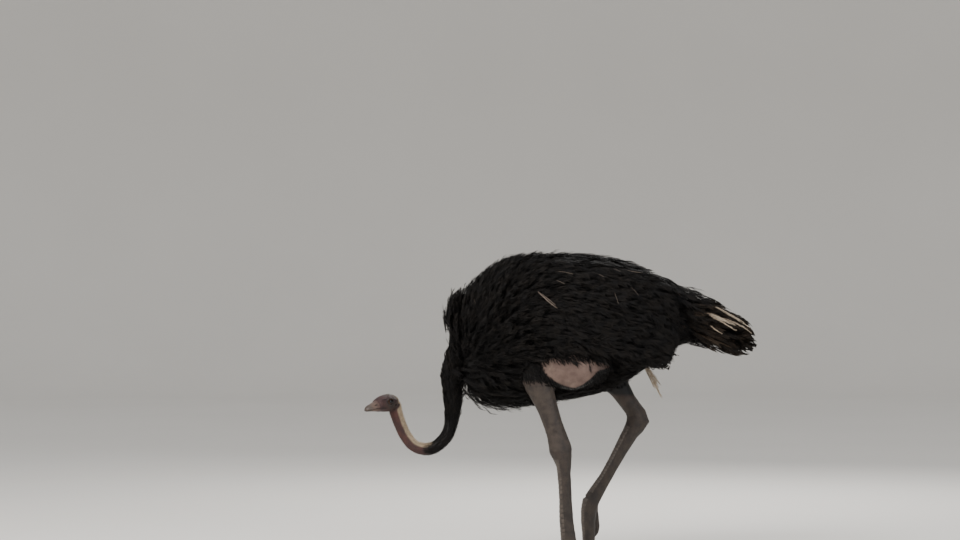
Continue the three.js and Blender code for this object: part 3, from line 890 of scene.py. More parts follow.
def spray(name, length, spread, blades, thick, seed):
    """A few fine blades from one root, as down and bristles grow."""
    dice = np.random.default_rng(seed)
    curl, steps = 0.35, 2
    tuft = Tuft(name, length, spread * length)
    for _ in range(blades):
        swing, lift = dice.normal(0, spread), dice.uniform(0.05, 0.55)
        reach = length * dice.uniform(0.55, 1.0)
        ahead = np.array([math.cos(swing) * math.cos(lift), math.sin(swing), math.sin(lift)])
        bend = np.array([0.0, dice.normal(0, 0.12), -curl * dice.uniform(0.2, 1.0)])
        points = [ahead * reach * u + bend * reach * u * u for u in np.linspace(0, 1, steps + 1)]
        turn = dice.uniform(0, math.pi)
        across = np.array([0.0, math.cos(turn), math.sin(turn)])
        tuft.blade(points, across, np.linspace(thick, thick * 0.6, steps))
    return tuft.made()


def plume_set(name, count, seed, *sizes, flicks=(0.0, 0.0), **more):
    """Plumes of one kind, each with its own seed: flicks has the first one's flick and the step on."""
    return kept_aside(f"{name}_plumes", [
        plume(f"{name}_{i}", *sizes, seed + i, flick=flicks[1] * i + flicks[0], **more)
        for i in range(count)])


def kept_aside(name, things):
    """A collection of shapes to scatter, which isn't part of the scene itself."""
    box = bpy.data.collections.new(name)
    for thing in things:
        bpy.context.collection.objects.unlink(thing)
        box.objects.link(thing)
    return box


def cleared(box):
    """Takes a collection and its shapes out again."""
    for thing in list(box.objects):
        bpy.data.objects.remove(thing)
    bpy.data.collections.remove(box)


# ------------------------------------------------------------------ laying the coat

def add(tree, kind, inputs=None, **settings):
    """A node with its settings, its inputs given as values or as other nodes' outputs."""
    made = tree.nodes.new(kind)
    for key, value in settings.items():
        setattr(made, key, value)
    for key, value in (inputs or {}).items():
        socket = next((s for s in made.inputs if s.identifier == key), None) or made.inputs[key]
        if isinstance(value, bpy.types.NodeSocket):
            tree.links.new(value, socket)
        else:
            socket.default_value = value
    return made


def math_node(tree, kind, operation, values, out=0):
    return add(tree, kind, dict(enumerate(values)), operation=operation).outputs[out]


def sums(tree, operation, *values):
    return math_node(tree, "ShaderNodeMath", operation, values)


def vectors(tree, operation, *values, out=0):
    return math_node(tree, "ShaderNodeVectorMath", operation, values, out)


def scaled(tree, vector, factor):
    return add(tree, "ShaderNodeVectorMath", {"Vector": vector, "Scale": factor},
               operation="SCALE").outputs[0]


def named(tree, name, kind="FLOAT"):
    return add(tree, "GeometryNodeInputNamedAttribute", {"Name": name}, data_type=kind).outputs[0]


def stored(tree, geometry, name, value, kind, domain):
    return add(tree, "GeometryNodeStoreNamedAttribute", {"Geometry": geometry, "Name": name, "Value": value},
               data_type=kind, domain=domain).outputs[0]


COAT_INPUTS = (("Bed", "Geometry", None), ("Tufts", "Collection", None), ("Skin", "Object", None),
               ("Hull", "Object", None), ("Spacing", "Float", 0.016), ("Yaw", "Float", 0.25),
               ("Roll", "Float", 0.2), ("Size Spread", "Float", 0.2), ("Clear", "Float", 0.0015),
               ("Proud", "Float", 0.006), ("Patch", "Float", 0.003), ("Seed", "Int", 1),
               ("Longest", "Float", 0.2), ("Finish", "Material", None))
SWAY, SWAY_SCALE = 2.2, 8.0  # neighbours turn together: how far over the yaw, and the noise's scale
KINDS = 24  # a tuft's shape is drawn by a number up to this, which wraps round its collection
HULL_PULL = 0.92  # the share of its excess height by which a tuft is drawn in


def coat_tree(name, scattered):
    """Lays tufts over a bed along its lie, off the skin and inside the hull, which is the coat's outside.

    A scattered coat has its roots spread evenly over the bed; otherwise each point of the bed is a
    root, and its normal there is the attribute "out".
    """
    tree = bpy.data.node_groups.new(name, "GeometryNodeTree")
    for title, kind, value in COAT_INPUTS:
        socket = tree.interface.new_socket(title, in_out="INPUT", socket_type=f"NodeSocket{kind}")
        if value is not None:
            socket.default_value = value
    tree.interface.new_socket("Coat", in_out="OUTPUT", socket_type="NodeSocketGeometry")
    given = tree.nodes.new("NodeGroupInput").outputs
    if scattered:
        spread = add(tree, "GeometryNodeDistributePointsOnFaces",
                     {"Mesh": given["Bed"], "Distance Min": given["Spacing"], "Density Max": 200000.0,
                      "Density Factor": named(tree, "thick"), "Seed": given["Seed"]},
                     distribute_method="POISSON")
        roots, outward = spread.outputs["Points"], spread.outputs["Normal"]
    else:
        roots = add(tree, "GeometryNodeMeshToPoints", {"Mesh": given["Bed"]}).outputs[0]
        outward = named(tree, "out", "FLOAT_VECTOR")
    upright = add(tree, "FunctionNodeAxesToRotation",
                  {"Primary Axis": outward, "Secondary Axis": named(tree, "lie", "FLOAT_VECTOR")})

    def chance(low, high, seed, kind="FLOAT"):
        keys = ("Min_001", "Max_001") if kind == "FLOAT" else ("Min_002", "Max_002")
        own_seed = sums(tree, "ADD", given["Seed"], seed)
        dice = add(tree, "FunctionNodeRandomValue",
                   {keys[0]: low, keys[1]: high, "Seed": own_seed}, data_type=kind)
        return dice.outputs[1 if kind == "FLOAT" else 2]

    yaw, roll, more = (chance(sums(tree, "MULTIPLY", given[key], -1.0), given[key], seed)
                       for key, seed in (("Yaw", 11.0), ("Roll", 12.0), ("Size Spread", 13.0)))
    drift = add(tree, "ShaderNodeTexNoise", {"Scale": SWAY_SCALE, "Detail": 1.0},
                noise_dimensions="3D").outputs[0]
    sway = sums(tree, "MULTIPLY", sums(tree, "SUBTRACT", drift, 0.5), SWAY)
    swing = add(tree, "ShaderNodeCombineXYZ",
                {"X": roll, "Y": sums(tree, "MULTIPLY", named(tree, "lift"), -1.0),
                 "Z": sums(tree, "ADD", yaw, sums(tree, "MULTIPLY", sway, given["Yaw"]))}).outputs[0]
    local = add(tree, "FunctionNodeEulerToRotation", {"Euler": swing}).outputs[0]
    turned = add(tree, "FunctionNodeRotateRotation",
                 {"Rotation": upright.outputs[0], "Rotate By": local}, rotation_space="LOCAL").outputs[0]
    kinds = add(tree, "GeometryNodeCollectionInfo",
                {"Collection": given["Tufts"], "Separate Children": True, "Reset Children": True}).outputs[0]
    size = sums(tree, "MULTIPLY", named(tree, "size"), sums(tree, "ADD", more, 1.0))
    placed = add(tree, "GeometryNodeInstanceOnPoints",
                 {"Points": roots, "Instance": kinds, "Pick Instance": True, "Rotation": turned,
                  "Instance Index": chance(0, KINDS, 14.0, "INT"), "Scale": size}).outputs[0]
    number = add(tree, "GeometryNodeInputIndex").outputs[0]
    marked = stored(tree, placed, "chance", chance(0.0, 1.0, 15.0), "FLOAT", "INSTANCE")
    marked = stored(tree, marked, "number", number, "INT", "INSTANCE")
    real = add(tree, "GeometryNodeRealizeInstances", {"Geometry": marked}).outputs[0]
    settled_down = off_skin(tree, in_hull(tree, real, given), given)
    whole = whole_tufts(tree, settled_down, given)
    place = vectors(tree, "ADD", named(tree, "root_uv", "FLOAT_VECTOR"),
                    scaled(tree, named(tree, "spot", "FLOAT_VECTOR"), given["Patch"]))
    mapped = stored(tree, whole, "OFBake", place, "FLOAT2", "CORNER")
    soft = add(tree, "GeometryNodeSetShadeSmooth", {"Geometry": mapped, "Shade Smooth": True})
    last = add(tree, "GeometryNodeSetMaterial", {"Geometry": soft.outputs[0], "Material": given["Finish"]})
    add(tree, "NodeGroupOutput", {"Coat": last.outputs[0]})
    return tree


def nearest_on(tree, thing):
    """The way out of an object at its nearest place to each point, and how far out of it the point is."""
    info = add(tree, "GeometryNodeObjectInfo", {"Object": thing}, transform_space="RELATIVE")
    surface = info.outputs["Geometry"]
    at = add(tree, "GeometryNodeInputPosition").outputs[0]
    place, way = (add(tree, "GeometryNodeSampleNearestSurface",
                      {"Mesh": surface, "Value": add(tree, field).outputs[0], "Sample Position": at},
                      data_type="FLOAT_VECTOR").outputs[0]
                  for field in ("GeometryNodeInputPosition", "GeometryNodeInputNormal"))
    out = vectors(tree, "NORMALIZE", way)
    return out, vectors(tree, "DOT_PRODUCT", vectors(tree, "SUBTRACT", at, place), out, out=1)


def moved(tree, coat, way, distance):
    return add(tree, "GeometryNodeSetPosition",
               {"Geometry": coat, "Offset": scaled(tree, way, distance)}).outputs[0]


def in_hull(tree, coat, given):
    """Draws in what stands further out of the hull than the tuft may."""
    out, height = nearest_on(tree, given["Hull"])
    luck = sums(tree, "POWER", named(tree, "chance"), 3.0)
    may = sums(tree, "MULTIPLY", given["Proud"], sums(tree, "ADD", sums(tree, "MULTIPLY", luck, 1.6), 0.3))
    excess = sums(tree, "MAXIMUM", sums(tree, "SUBTRACT", height, may), 0.0)
    return moved(tree, coat, out, sums(tree, "MULTIPLY", excess, -HULL_PULL))


def off_skin(tree, coat, given):
    """Lifts what lies in the skin to just over it."""
    out, height = nearest_on(tree, given["Skin"])
    short = sums(tree, "MAXIMUM", sums(tree, "SUBTRACT", given["Clear"], height), 0.0)
    return moved(tree, coat, out, short)


BROADEST = 0.0032  # metres: the largest face over the longest edge that a tuft may have


def whole_tufts(tree, coat, given):
    """Drops the tufts that were pulled apart where the coat turns a corner."""
    ends = add(tree, "GeometryNodeInputMeshEdgeVertices").outputs
    span = vectors(tree, "DISTANCE", ends["Position 1"], ends["Position 2"], out=1)
    area = add(tree, "GeometryNodeInputMeshFaceArea").outputs[0]
    largest = sums(tree, "MULTIPLY", given["Longest"], BROADEST)
    torn = [add(tree, "GeometryNodeFieldOnDomain", {"Value": sums(tree, "GREATER_THAN", size, limit)},
                domain=where, data_type="FLOAT").outputs[0]
            for size, limit, where in ((span, given["Longest"], "EDGE"), (area, largest, "FACE"))]
    total = add(tree, "GeometryNodeAccumulateField",
                {"Value": sums(tree, "MAXIMUM", *torn), "Group Index": named(tree, "number", "INT")},
                data_type="FLOAT", domain="POINT").outputs["Total"]
    return add(tree, "GeometryNodeDeleteGeometry",
               {"Geometry": coat, "Selection": sums(tree, "GREATER_THAN", total, 0.0)},
               domain="POINT", mode="ALL").outputs[0]


def bed_of(zones, name, keep, fields):
    """The kept triangles of the skin as a mesh that carries the coat's fields."""
    chosen = zones.tris[keep[zones.tris[:, 0]]]
    used, index = np.unique(chosen, return_inverse=True)
    bed = mesh_object(name, zones.co[used], index.reshape(-1, 3))
    for key, values in fields.items():
        store(bed.data, key, values[used])
    return bed


SPARE = ("number", "lie", "lift", "size", "thick", "spot", "root_uv", "out")  # of no use to the paint


def lay(tree, name, bed, values):
    """One piece of coat: the tufts of a collection laid over a bed. The bed goes."""
    modifier = bed.modifiers.new("coat", "NODES")
    modifier.node_group = tree
    for item in tree.interface.items_tree:
        key = item.name.replace(" ", "_")
        if item.in_out == "INPUT" and key in values:
            modifier[item.identifier] = values[key]
    coat = settled(bed, name)
    for spare in SPARE:
        layer = coat.data.attributes.get(spare)
        if layer:
            coat.data.attributes.remove(layer)
    return coat


# ------------------------------------------------------------------ where the coat grows and how it lies

COATED = ("trunk", "wing", "thigh", "tail", "neck")
NECK_COAT_END = (0.640, 0.575)  # the neck's plumage thins out between these, in metres along the neck


def make_hull():
    """The outside of the plumage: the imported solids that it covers, as one closed shell."""
    shapes = [merged_copy(node) for node in frame["nodes"] if node.startswith(COATED)]
    return fused(joined("solids", shapes), "hull", 0.009, 6)


def unit(ways):
    """Directions scaled to a length of 1."""
    return ways / np.maximum(np.linalg.norm(ways, axis=1), 1e-6)[:, None]


def onto_skin(ways, out):
    """Directions turned to lie along the skin."""
    return unit(ways - (ways * out).sum(1)[:, None] * out)


def room_along(co, ways, reach, solid):
    """How far each point can go its way, up to reach, before it leaves the hull."""
    room = np.zeros(len(co))
    for i in range(len(co)):
        way = Vector(ways[i])
        place, normal, _, distance = solid.ray_cast(Vector(co[i]) + way * reach, -way, reach)
        if place is not None:
            room[i] = reach - distance if normal.dot(way) > 0 else reach
    return room


def flow(zones):
    """The way the coat lies: away from the neck, over the back and down the sides."""
    x, y, z, out = zones.x, zones.y, zones.z, zones.out

    def turned(lie, share, way):
        return lie * (1 - share[:, None]) + share[:, None] * np.array(way)

    fan = unit(np.stack([x + 0.53, 0 * x, z - 0.84], 1))
    nape = ramp(-out[:, 0], 0.35, 0.80) * ramp(x, -0.30, -0.40) * ramp(z, 0.74, 0.82)
    fan = turned(fan, nape, (0.35, 0, 0.94))
    back = np.stack([0 * x + 0.90, 0 * x, -0.34 * ramp(np.abs(y), 0.03, 0.14)], 1)
    front = ramp(x, -0.06, -0.34)[:, None]
    lie = front * fan + (1 - front) * back
    rump = ramp(x, 0.22, 0.44) * ramp(z, 1.25, 1.12) * ramp(np.abs(y), 0.05, 0.12)
    lie = turned(lie, rump, (0.50, 0, -0.84))
    under = ramp(out[:, 2], -0.35, -0.80) * ramp(x, -0.45, -0.30)
    lie = turned(lie, under, (0.96, 0, -0.1))
    lie[:, 1] += 0.40 * np.tanh(y / 0.06) * ramp(out[:, 2], 0.4, 1.0) * (1 - front[:, 0])
    chest = ramp(x, -0.28, -0.36) * ramp(z, 0.90, 0.82) * ramp(out[:, 2], -0.75, -0.35)
    lie = turned(lie, chest, (0.22, 0, -0.97))
    lie = np.where(zones.limb[:, None], np.array([0.42, 0, -0.88]), lie)
    lie = np.where(zones.neck[:, None] > 0.3, -zones.ahead, lie)
    return onto_skin(lie, out)


SHORTEST = 0.025  # metres that a plume beside a bare patch keeps


def clear_of_bare(zones, lie, length, margin):
    """Lengths cut back so that no tip hangs over a flank's bare patch, and which of them stay whole."""
    free = np.full(len(length), FAR)
    for step in np.linspace(1.0, 0.08, 12):
        tip = lie * (length * step)[:, None]
        for side, sign in SIDES.items():
            off = beside_patch(zones.x + tip[:, 0], zones.z + tip[:, 2], side)
            over = (off < margin) & (zones.y * sign > 0.07) & (zones.z + tip[:, 2] < 0.93)
            over &= np.abs(zones.out[:, 1]) > 0.15
            free = np.where(over, np.minimum(free, step), free)
    return np.where(free < FAR, np.maximum(length * free, SHORTEST), length), free == FAR


def lifted(lie, lift, out):
    """The way of a plume that leaves its lie by the angle lift."""
    return unit(lie * np.cos(lift)[:, None] + out * np.sin(lift)[:, None])


def plumage_fields(zones, solid, lie, length, fill, margin=-0.006):
    """Size, lift and thickness of a layer whose plumes are about this long and rise to fill of the depth."""
    x, z = zones.x, zones.z
    on_neck = zones.neck > 0.3
    thick = np.ones(len(x))
    thick[(zones.head > 0.3) | (x < -0.63)] = 0
    thick[on_neck] *= ramp(zones.along[on_neck], *NECK_COAT_END)
    on_leg = zones.leg > 0.5
    thick[on_leg] *= ramp(z - zones.hem, 0.0, 0.015)[on_leg]
    thick[(z < 0.66) & ~on_neck] = 0
    thick[zones.limb] *= 0.45 + 0.55 * ramp(z, 0.97, 0.93)[zones.limb]
    thick[zones.patch < -0.008] = 0
    waves = crinkle(zones.co, 9.0, 4.0)
    length = length * (1 + 0.22 * waves)
    above_hem = np.maximum(0.022, (z - zones.hem + 0.017) / 0.8)
    length = np.where(zones.limb, np.minimum(length, above_hem), length)
    length, whole = clear_of_bare(zones, lie, length, margin)
    lift = np.clip(fill * (1 + 0.35 * waves) * zones.deep / np.maximum(length, 0.03), 0.04, 0.75)
    lift = np.where(zones.limb, np.clip(lift, 0.34, 0.50), lift)
    ways = lifted(lie, lift, zones.out)
    grown = np.flatnonzero((thick > 0.01) & whole)
    room = room_along(zones.co[grown], ways[grown], 0.34, solid)
    length[grown] = np.clip(room, 0.55 * length[grown], 1.15 * length[grown])
    return {"lie": lie, "length": length, "lift": lift, "thick": thick, "root_uv": zones.unwrapped}


MAP_EDGE = 0.03  # kept free round the unwrap


def body_u(x):
    """Where a place along the body lies on the unwrap of the skin."""
    return MAP_EDGE + 0.60 * (x + 0.6) / 1.35


def skin_map(zones):
    """A place on an unwrap of the skin for each point: trunk, neck, head and legs each in a part of it."""

    def turn(y, z):
        return np.arctan2(y, z) / (2 * math.pi) + 0.5

    u, v = body_u(zones.x), MAP_EDGE + 0.60 * turn(zones.y, zones.z - 1.0)
    on_neck, on_head = zones.neck > 0.3, zones.head > 0.3
    u = np.where(on_neck, MAP_EDGE + 0.9 * zones.along / zones.neck_length, u)
    v = np.where(on_neck, 0.68 + 0.13 * (zones.round / (2 * math.pi) + 0.5), v)
    u = np.where(on_head, MAP_EDGE + 0.4 * (zones.face[:, 0] + 110) / 140, u)
    v = np.where(on_head, 0.84 + 0.13 * turn(zones.face[:, 1], zones.face[:, 2]), v)
    on_leg = zones.limb & ~on_head & ~on_neck
    u = np.where(on_leg, 0.68 + 0.13 * (zones.x + 0.3) / 0.7 + 0.14 * (zones.y > 0), u)
    v = np.where(on_leg, MAP_EDGE + 0.60 * zones.z, v)
    return np.stack([u, v, 0 * u], 1)


class Coat:
    """Lays the layers of the coat over the skin."""

    def __init__(self, skin, zones, hull):
        self.skin, self.zones, self.hull = skin, zones, hull
        self.scattered = coat_tree("scattered_coat", True)
        self.set_out = coat_tree("set_out_coat", False)

    def piece(self, tree, name, bed, kinds, finish, slot, seed, sizes):
        values = {"Tufts": kinds, "Skin": self.skin, "Hull": self.hull, "Seed": seed, "Finish": finish}
        coat = lay(tree, name, bed, values | sizes)
        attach(coat, "root")

    def over(self, name, keep, fields, kinds, nominal, finish, slot, seed, **sizes):
        """A layer whose roots are spread over part of the skin; nominal is its tufts' own length."""
        on_bed = {key: values for key, values in fields.items() if key != "length"}
        on_bed["size"] = fields["length"] / nominal
        bed = bed_of(self.zones, name + "_bed", keep & (fields["thick"] > 0.01), on_bed)
        self.piece(self.scattered, name, bed, kinds, finish, slot, seed, sizes)

    def placed(self, name, roots, kinds, finish, slot, seed, **sizes):
        """A layer whose roots are set out one by one."""
        bed = mesh_object(name + "_bed", [root["at"] for root in roots], [])
        for key in ("out", "lie", "root_uv", "size", "lift"):
            store(bed.data, key, [root[key] for root in roots])
        self.piece(self.set_out, name, bed, kinds, finish, slot, seed, sizes)


# ------------------------------------------------------------------ paints

class Paint:
    """A material with short ways to build its colour, gloss and relief."""

    def __init__(self, name, roughness, specular):
        self.material = bpy.data.materials.new(name)
        self.material.use_nodes = True
        self.tree = self.material.node_tree
        self.shader = self.tree.nodes["Principled BSDF"]
        self.shader.inputs["Roughness"].default_value = roughness
        self.shader.inputs["Specular IOR Level"].default_value = specular

    def place(self, scale):
        """The point's own place in metres, stretched along each axis."""
        coords = add(self.tree, "ShaderNodeTexCoord").outputs["Object"]
        return add(self.tree, "ShaderNodeMapping", {"Vector": coords, "Scale": scale}).outputs[0]

    def mark(self, name):
        """A number stored on the mesh."""
        return add(self.tree, "ShaderNodeAttribute", attribute_name=name).outputs["Fac"]

    def grain(self, scale, detail, low=0.3, high=0.7, stretch=(1, 1, 1), vector=None):
        """Soft noise from 0 to 1."""
        vector = vector or self.place(stretch)
        noise = add(self.tree, "ShaderNodeTexNoise", {"Vector": vector, "Scale": scale, "Detail": detail})
        return self.ramp(noise.outputs[0], low, high)

    def cells(self, scale, feature, low, high, stretch=(1, 1, 1)):
        """Cells from 0 in their middle or, with DISTANCE_TO_EDGE, from 0 at their edge."""
        vector = self.place(stretch)
        made = add(self.tree, "ShaderNodeTexVoronoi", {"Vector": vector, "Scale": scale}, feature=feature)
        return self.ramp(made.outputs["Distance"], low, high)

    def ramp(self, value, low, high):
        """0 at low, 1 at high, and smooth between."""
        return add(self.tree, "ShaderNodeMapRange", {"Value": value, "From Min": low, "From Max": high},
                   interpolation_type="SMOOTHSTEP").outputs[0]

    def sum(self, operation, *values):
        return sums(self.tree, operation, *values)

    def times(self, *values):
        result = values[0]
        for value in values[1:]:
            result = sums(self.tree, "MULTIPLY", result, value)
        return result

    def mix(self, factor, first, second):
        """From the first colour at 0 to the second at 1; either may be another mix."""
        first, second = ((*c, 1) if isinstance(c, tuple) else c for c in (first, second))
        return add(self.tree, "ShaderNodeMix", {"Factor_Float": factor, "A_Color": first, "B_Color": second},
                   data_type="RGBA").outputs[2]

    def darker(self, share, colour):
        """A colour of which this share is black."""
        return self.mix(share, colour, (0.0, 0.0, 0.0))

    def colour(self, value):
        self.tree.links.new(value, self.shader.inputs["Base Color"])

    def rough(self, value, low, high):
        """Roughness from low at 0 to high at 1."""
        spread = add(self.tree, "ShaderNodeMapRange", {"Value": value, "To Min": low, "To Max": high})
        self.tree.links.new(spread.outputs[0], self.shader.inputs["Roughness"])

    def relief(self, height, depth):
        """Bumps this deep in metres where the height runs from 0 to 1."""
        bump = add(self.tree, "ShaderNodeBump", {"Height": height, "Distance": depth, "Strength": 1.0})
        self.tree.links.new(bump.outputs[0], self.shader.inputs["Normal"])


def plume_paint(name, root, vane, tip, specular=0.09, odd=None):
    """Feather: darker at its root, which is painted shade where other plumes lie over it, worn at its tips,
    each plume a little different.

    Odd gives another colour to the plumes whose chance is above a limit: the limit and the colour.
    """
    paint = Paint(name, 0.62, specular)
    luck, along = paint.mark("chance"), paint.mark("along")
    # painted shade: each plume is darker towards its root, where other plumes lie over it
    body = paint.mix(paint.ramp(along, 0.0, 0.45), root, vane)
    body = paint.mix(paint.times(paint.ramp(along, 0.55, 1.0), paint.grain(26, 2.0)), body, tip)
    shade = paint.sum("ADD", paint.times(luck, 0.85), paint.times(paint.grain(7, 2.0), 0.45))
    body = paint.mix(shade, paint.darker(0.55, body), body)
    if odd:
        body = paint.mix(paint.ramp(luck, odd[0], odd[0] + 0.05), body, odd[1])
    paint.colour(body)
    streaks = paint.grain(900, 2.0, stretch=(0.35, 1, 1))
    paint.rough(streaks, 0.62, 0.84)
    paint.relief(streaks, 0.00025)
    return paint.material


def skin_paint():
    """Bare skin: pinkish on the flank, grey-brown and scaly on the leg, dull red on the neck and head."""
    paint = Paint("bare_skin", 0.55, 0.28)
    mottle, broad, speck = paint.grain(34, 4.0), paint.grain(8, 2.0), paint.grain(300, 2.0, 0.42, 0.66)
    scaly, on_head = paint.mark("scaly"), paint.mark("on_head")
    leg = paint.mix(mottle, (0.024, 0.018, 0.0155), (0.050, 0.038, 0.031))
    foot = paint.mix(mottle, (0.024, 0.019, 0.017), (0.050, 0.040, 0.033))
    leg = paint.mix(paint.times(paint.mark("foot"), 0.8), leg, foot)
    flank = paint.mix(mottle, (0.104, 0.069, 0.056), (0.186, 0.131, 0.106))
    flank = paint.mix(paint.times(broad, 0.55), flank, (0.084, 0.050, 0.042))
    flush = paint.mix(mottle, (0.040, 0.024, 0.019), (0.080, 0.048, 0.036))
    flank = paint.mix(paint.mark("flush"), flank, flush)
    neck = paint.mix(mottle, (0.028, 0.0110, 0.0105), (0.070, 0.026, 0.021))
    neck = paint.mix(paint.times(broad, 0.50), neck, (0.028, 0.015, 0.018))
    # dark neck base under the neck's plumage: partly the skin's own dark colour, partly painted shade under
    # the plumes
    neck = paint.mix(paint.mark("dark_shaded_neck_base"), neck, (0.0050, 0.0042, 0.0046))
    # pale nape: pale skin and down, partly painted light, as it is pale only on the lit inner side of the U
    nape = paint.mix(mottle, (0.20, 0.15, 0.10), (0.32, 0.25, 0.17))
    neck = paint.mix(paint.mark("nape"), neck, nape)
    head = paint.mix(mottle, (0.021, 0.0100, 0.011), (0.047, 0.0225, 0.0215))
    cheek = paint.mix(mottle, (0.025, 0.0195, 0.016), (0.047, 0.038, 0.030))
    head = paint.mix(paint.times(paint.mark("cheek"), 0.85), head, cheek)
    # darker in each ear opening, which is painted shade in that pit, and on a patch below the ears
    ear_shade_and_jaw = paint.mix(mottle, (0.014, 0.009, 0.008), (0.034, 0.020, 0.016))
    head = paint.mix(paint.mark("ear_shade_and_jaw"), head, ear_shade_and_jaw)
    # dark lid margins, and painted shade along the mouth's crease
    head = paint.mix(paint.mark("rim"), head, (0.012, 0.008, 0.007))
    colour = paint.mix(paint.mark("leg"), flank, leg)
    colour = paint.mix(paint.mark("on_neck"), colour, neck)
    colour = paint.mix(on_head, colour, head)
    colour = paint.mix(paint.times(speck, 0.22), colour, paint.darker(0.5, colour))
    # painted shade: where the coat lies over it, the skin is painted near black as the shade among the
    # plumes
    colour = paint.mix(paint.mark("shade_under_coat"), colour, (0.0045, 0.0040, 0.0040))
    scales = paint.cells(230, "DISTANCE_TO_EDGE", 0.0, 0.16)
    seams = paint.times(scaly, paint.sum("SUBTRACT", 1.0, scales), 0.50)
    paint.colour(paint.mix(seams, colour, (0.012, 0.009, 0.008)))
    creases = paint.cells(120, "DISTANCE_TO_EDGE", 0.0, 0.22, (1, 1, 1.9))
    buds = paint.sum("SUBTRACT", 1.0, paint.cells(105, "F1", 0.10, 0.42))
    soft = paint.sum("SUBTRACT", 1.0, scaly)
    wrinkled = paint.sum("SUBTRACT", 0.38, paint.times(on_head, 0.24))
    off_head = paint.sum("SUBTRACT", 1.0, on_head)
    height = paint.times(scales, scaly)
    for more in ((creases, soft, wrinkled), (buds, soft, off_head, 0.55), (paint.grain(700, 3.0), 0.20)):
        height = paint.sum("ADD", height, paint.times(*more))
    paint.relief(height, 0.0006)
    paint.rough(mottle, 0.46, 0.66)
    return paint.material


def eye_paint():
    """Pupil, brown iris with radial threads, dark limbus and a dull white, all under a clear cornea."""
    paint = Paint("wet_eye", 0.16, 0.10)
    ring = paint.mark("ring")
    spokes = add(paint.tree, "ShaderNodeAttribute", attribute_name="spoke").outputs["Vector"]
    threads = paint.grain(7.0, 3.0, 0.35, 0.65, vector=spokes)
    iris = paint.mix(threads, (0.011, 0.004, 0.002), (0.040, 0.016, 0.006))
    iris = paint.mix(paint.ramp(ring, 0.62, 0.95), iris, (0.014, 0.006, 0.003))
    colour = paint.mix(paint.ramp(ring, 0.50, 0.54), (0.0006, 0.0006, 0.0008), iris)
    colour = paint.mix(paint.ramp(ring, 0.94, 1.02), colour, (0.006, 0.004, 0.003))
    white = paint.mix(paint.grain(160, 3.0), (0.10, 0.060, 0.050), (0.16, 0.115, 0.095))
    paint.colour(paint.mix(paint.ramp(ring, 1.06, 1.16), colour, white))
    paint.shader.inputs["Coat Weight"].default_value = 0.35
    paint.shader.inputs["Coat Roughness"].default_value = 0.02
    return paint.material


def horn_paint(name, root, middle, tip, stretch, depth):
    """Horn with growth lines across it, from its root to its worn tip, and painted shade in the nostrils'
    pits.
    """
    paint = Paint(name, 0.5, 0.35)
    tipward = paint.mark("tip")
    lines = paint.grain(150, 3.0, stretch=stretch)
    mottle = paint.grain(60, 3.0)
    colour = paint.mix(paint.ramp(tipward, 0.0, 0.45), root, middle)
    colour = paint.mix(paint.ramp(tipward, 0.60, 0.92), colour, tip)
    worn = paint.times(paint.sum("ADD", lines, mottle), 0.30)
    colour = paint.mix(worn, colour, paint.darker(0.5, colour))
    # painted shade: the nostrils' pits are painted near black
    paint.colour(paint.mix(paint.mark("hollow"), colour, (0.006, 0.003, 0.003)))
    paint.rough(lines, 0.42, 0.64)
    paint.relief(paint.sum("ADD", lines, paint.times(paint.grain(800, 2.0), 0.3)), depth)
    return paint.material


def scute_paint():
    """The horny plates of the leg: grey-brown, darker and duller where they meet."""
    paint = Paint("leg_scutes", 0.48, 0.36)
    edge, mottle = paint.mark("edge"), paint.grain(70, 3.0)
    plate = paint.mix(mottle, (0.036, 0.028, 0.024), (0.076, 0.061, 0.050))
    paint.colour(paint.mix(paint.ramp(edge, 0.55, 1.0), plate, (0.018, 0.013, 0.011)))
    paint.rough(mottle, 0.36, 0.58)
    paint.relief(paint.grain(420, 3.0), 0.0002)
    return paint.material


def floor_paint():
    """The pale floor that the bird stands on."""
    paint = Paint("studio_floor", 0.9, 0.3)
    paint.colour(paint.mix(paint.grain(0.6, 3.0), (0.705, 0.685, 0.65), (0.72, 0.70, 0.665)))
    return paint.material


# ------------------------------------------------------------------ marks on the skin

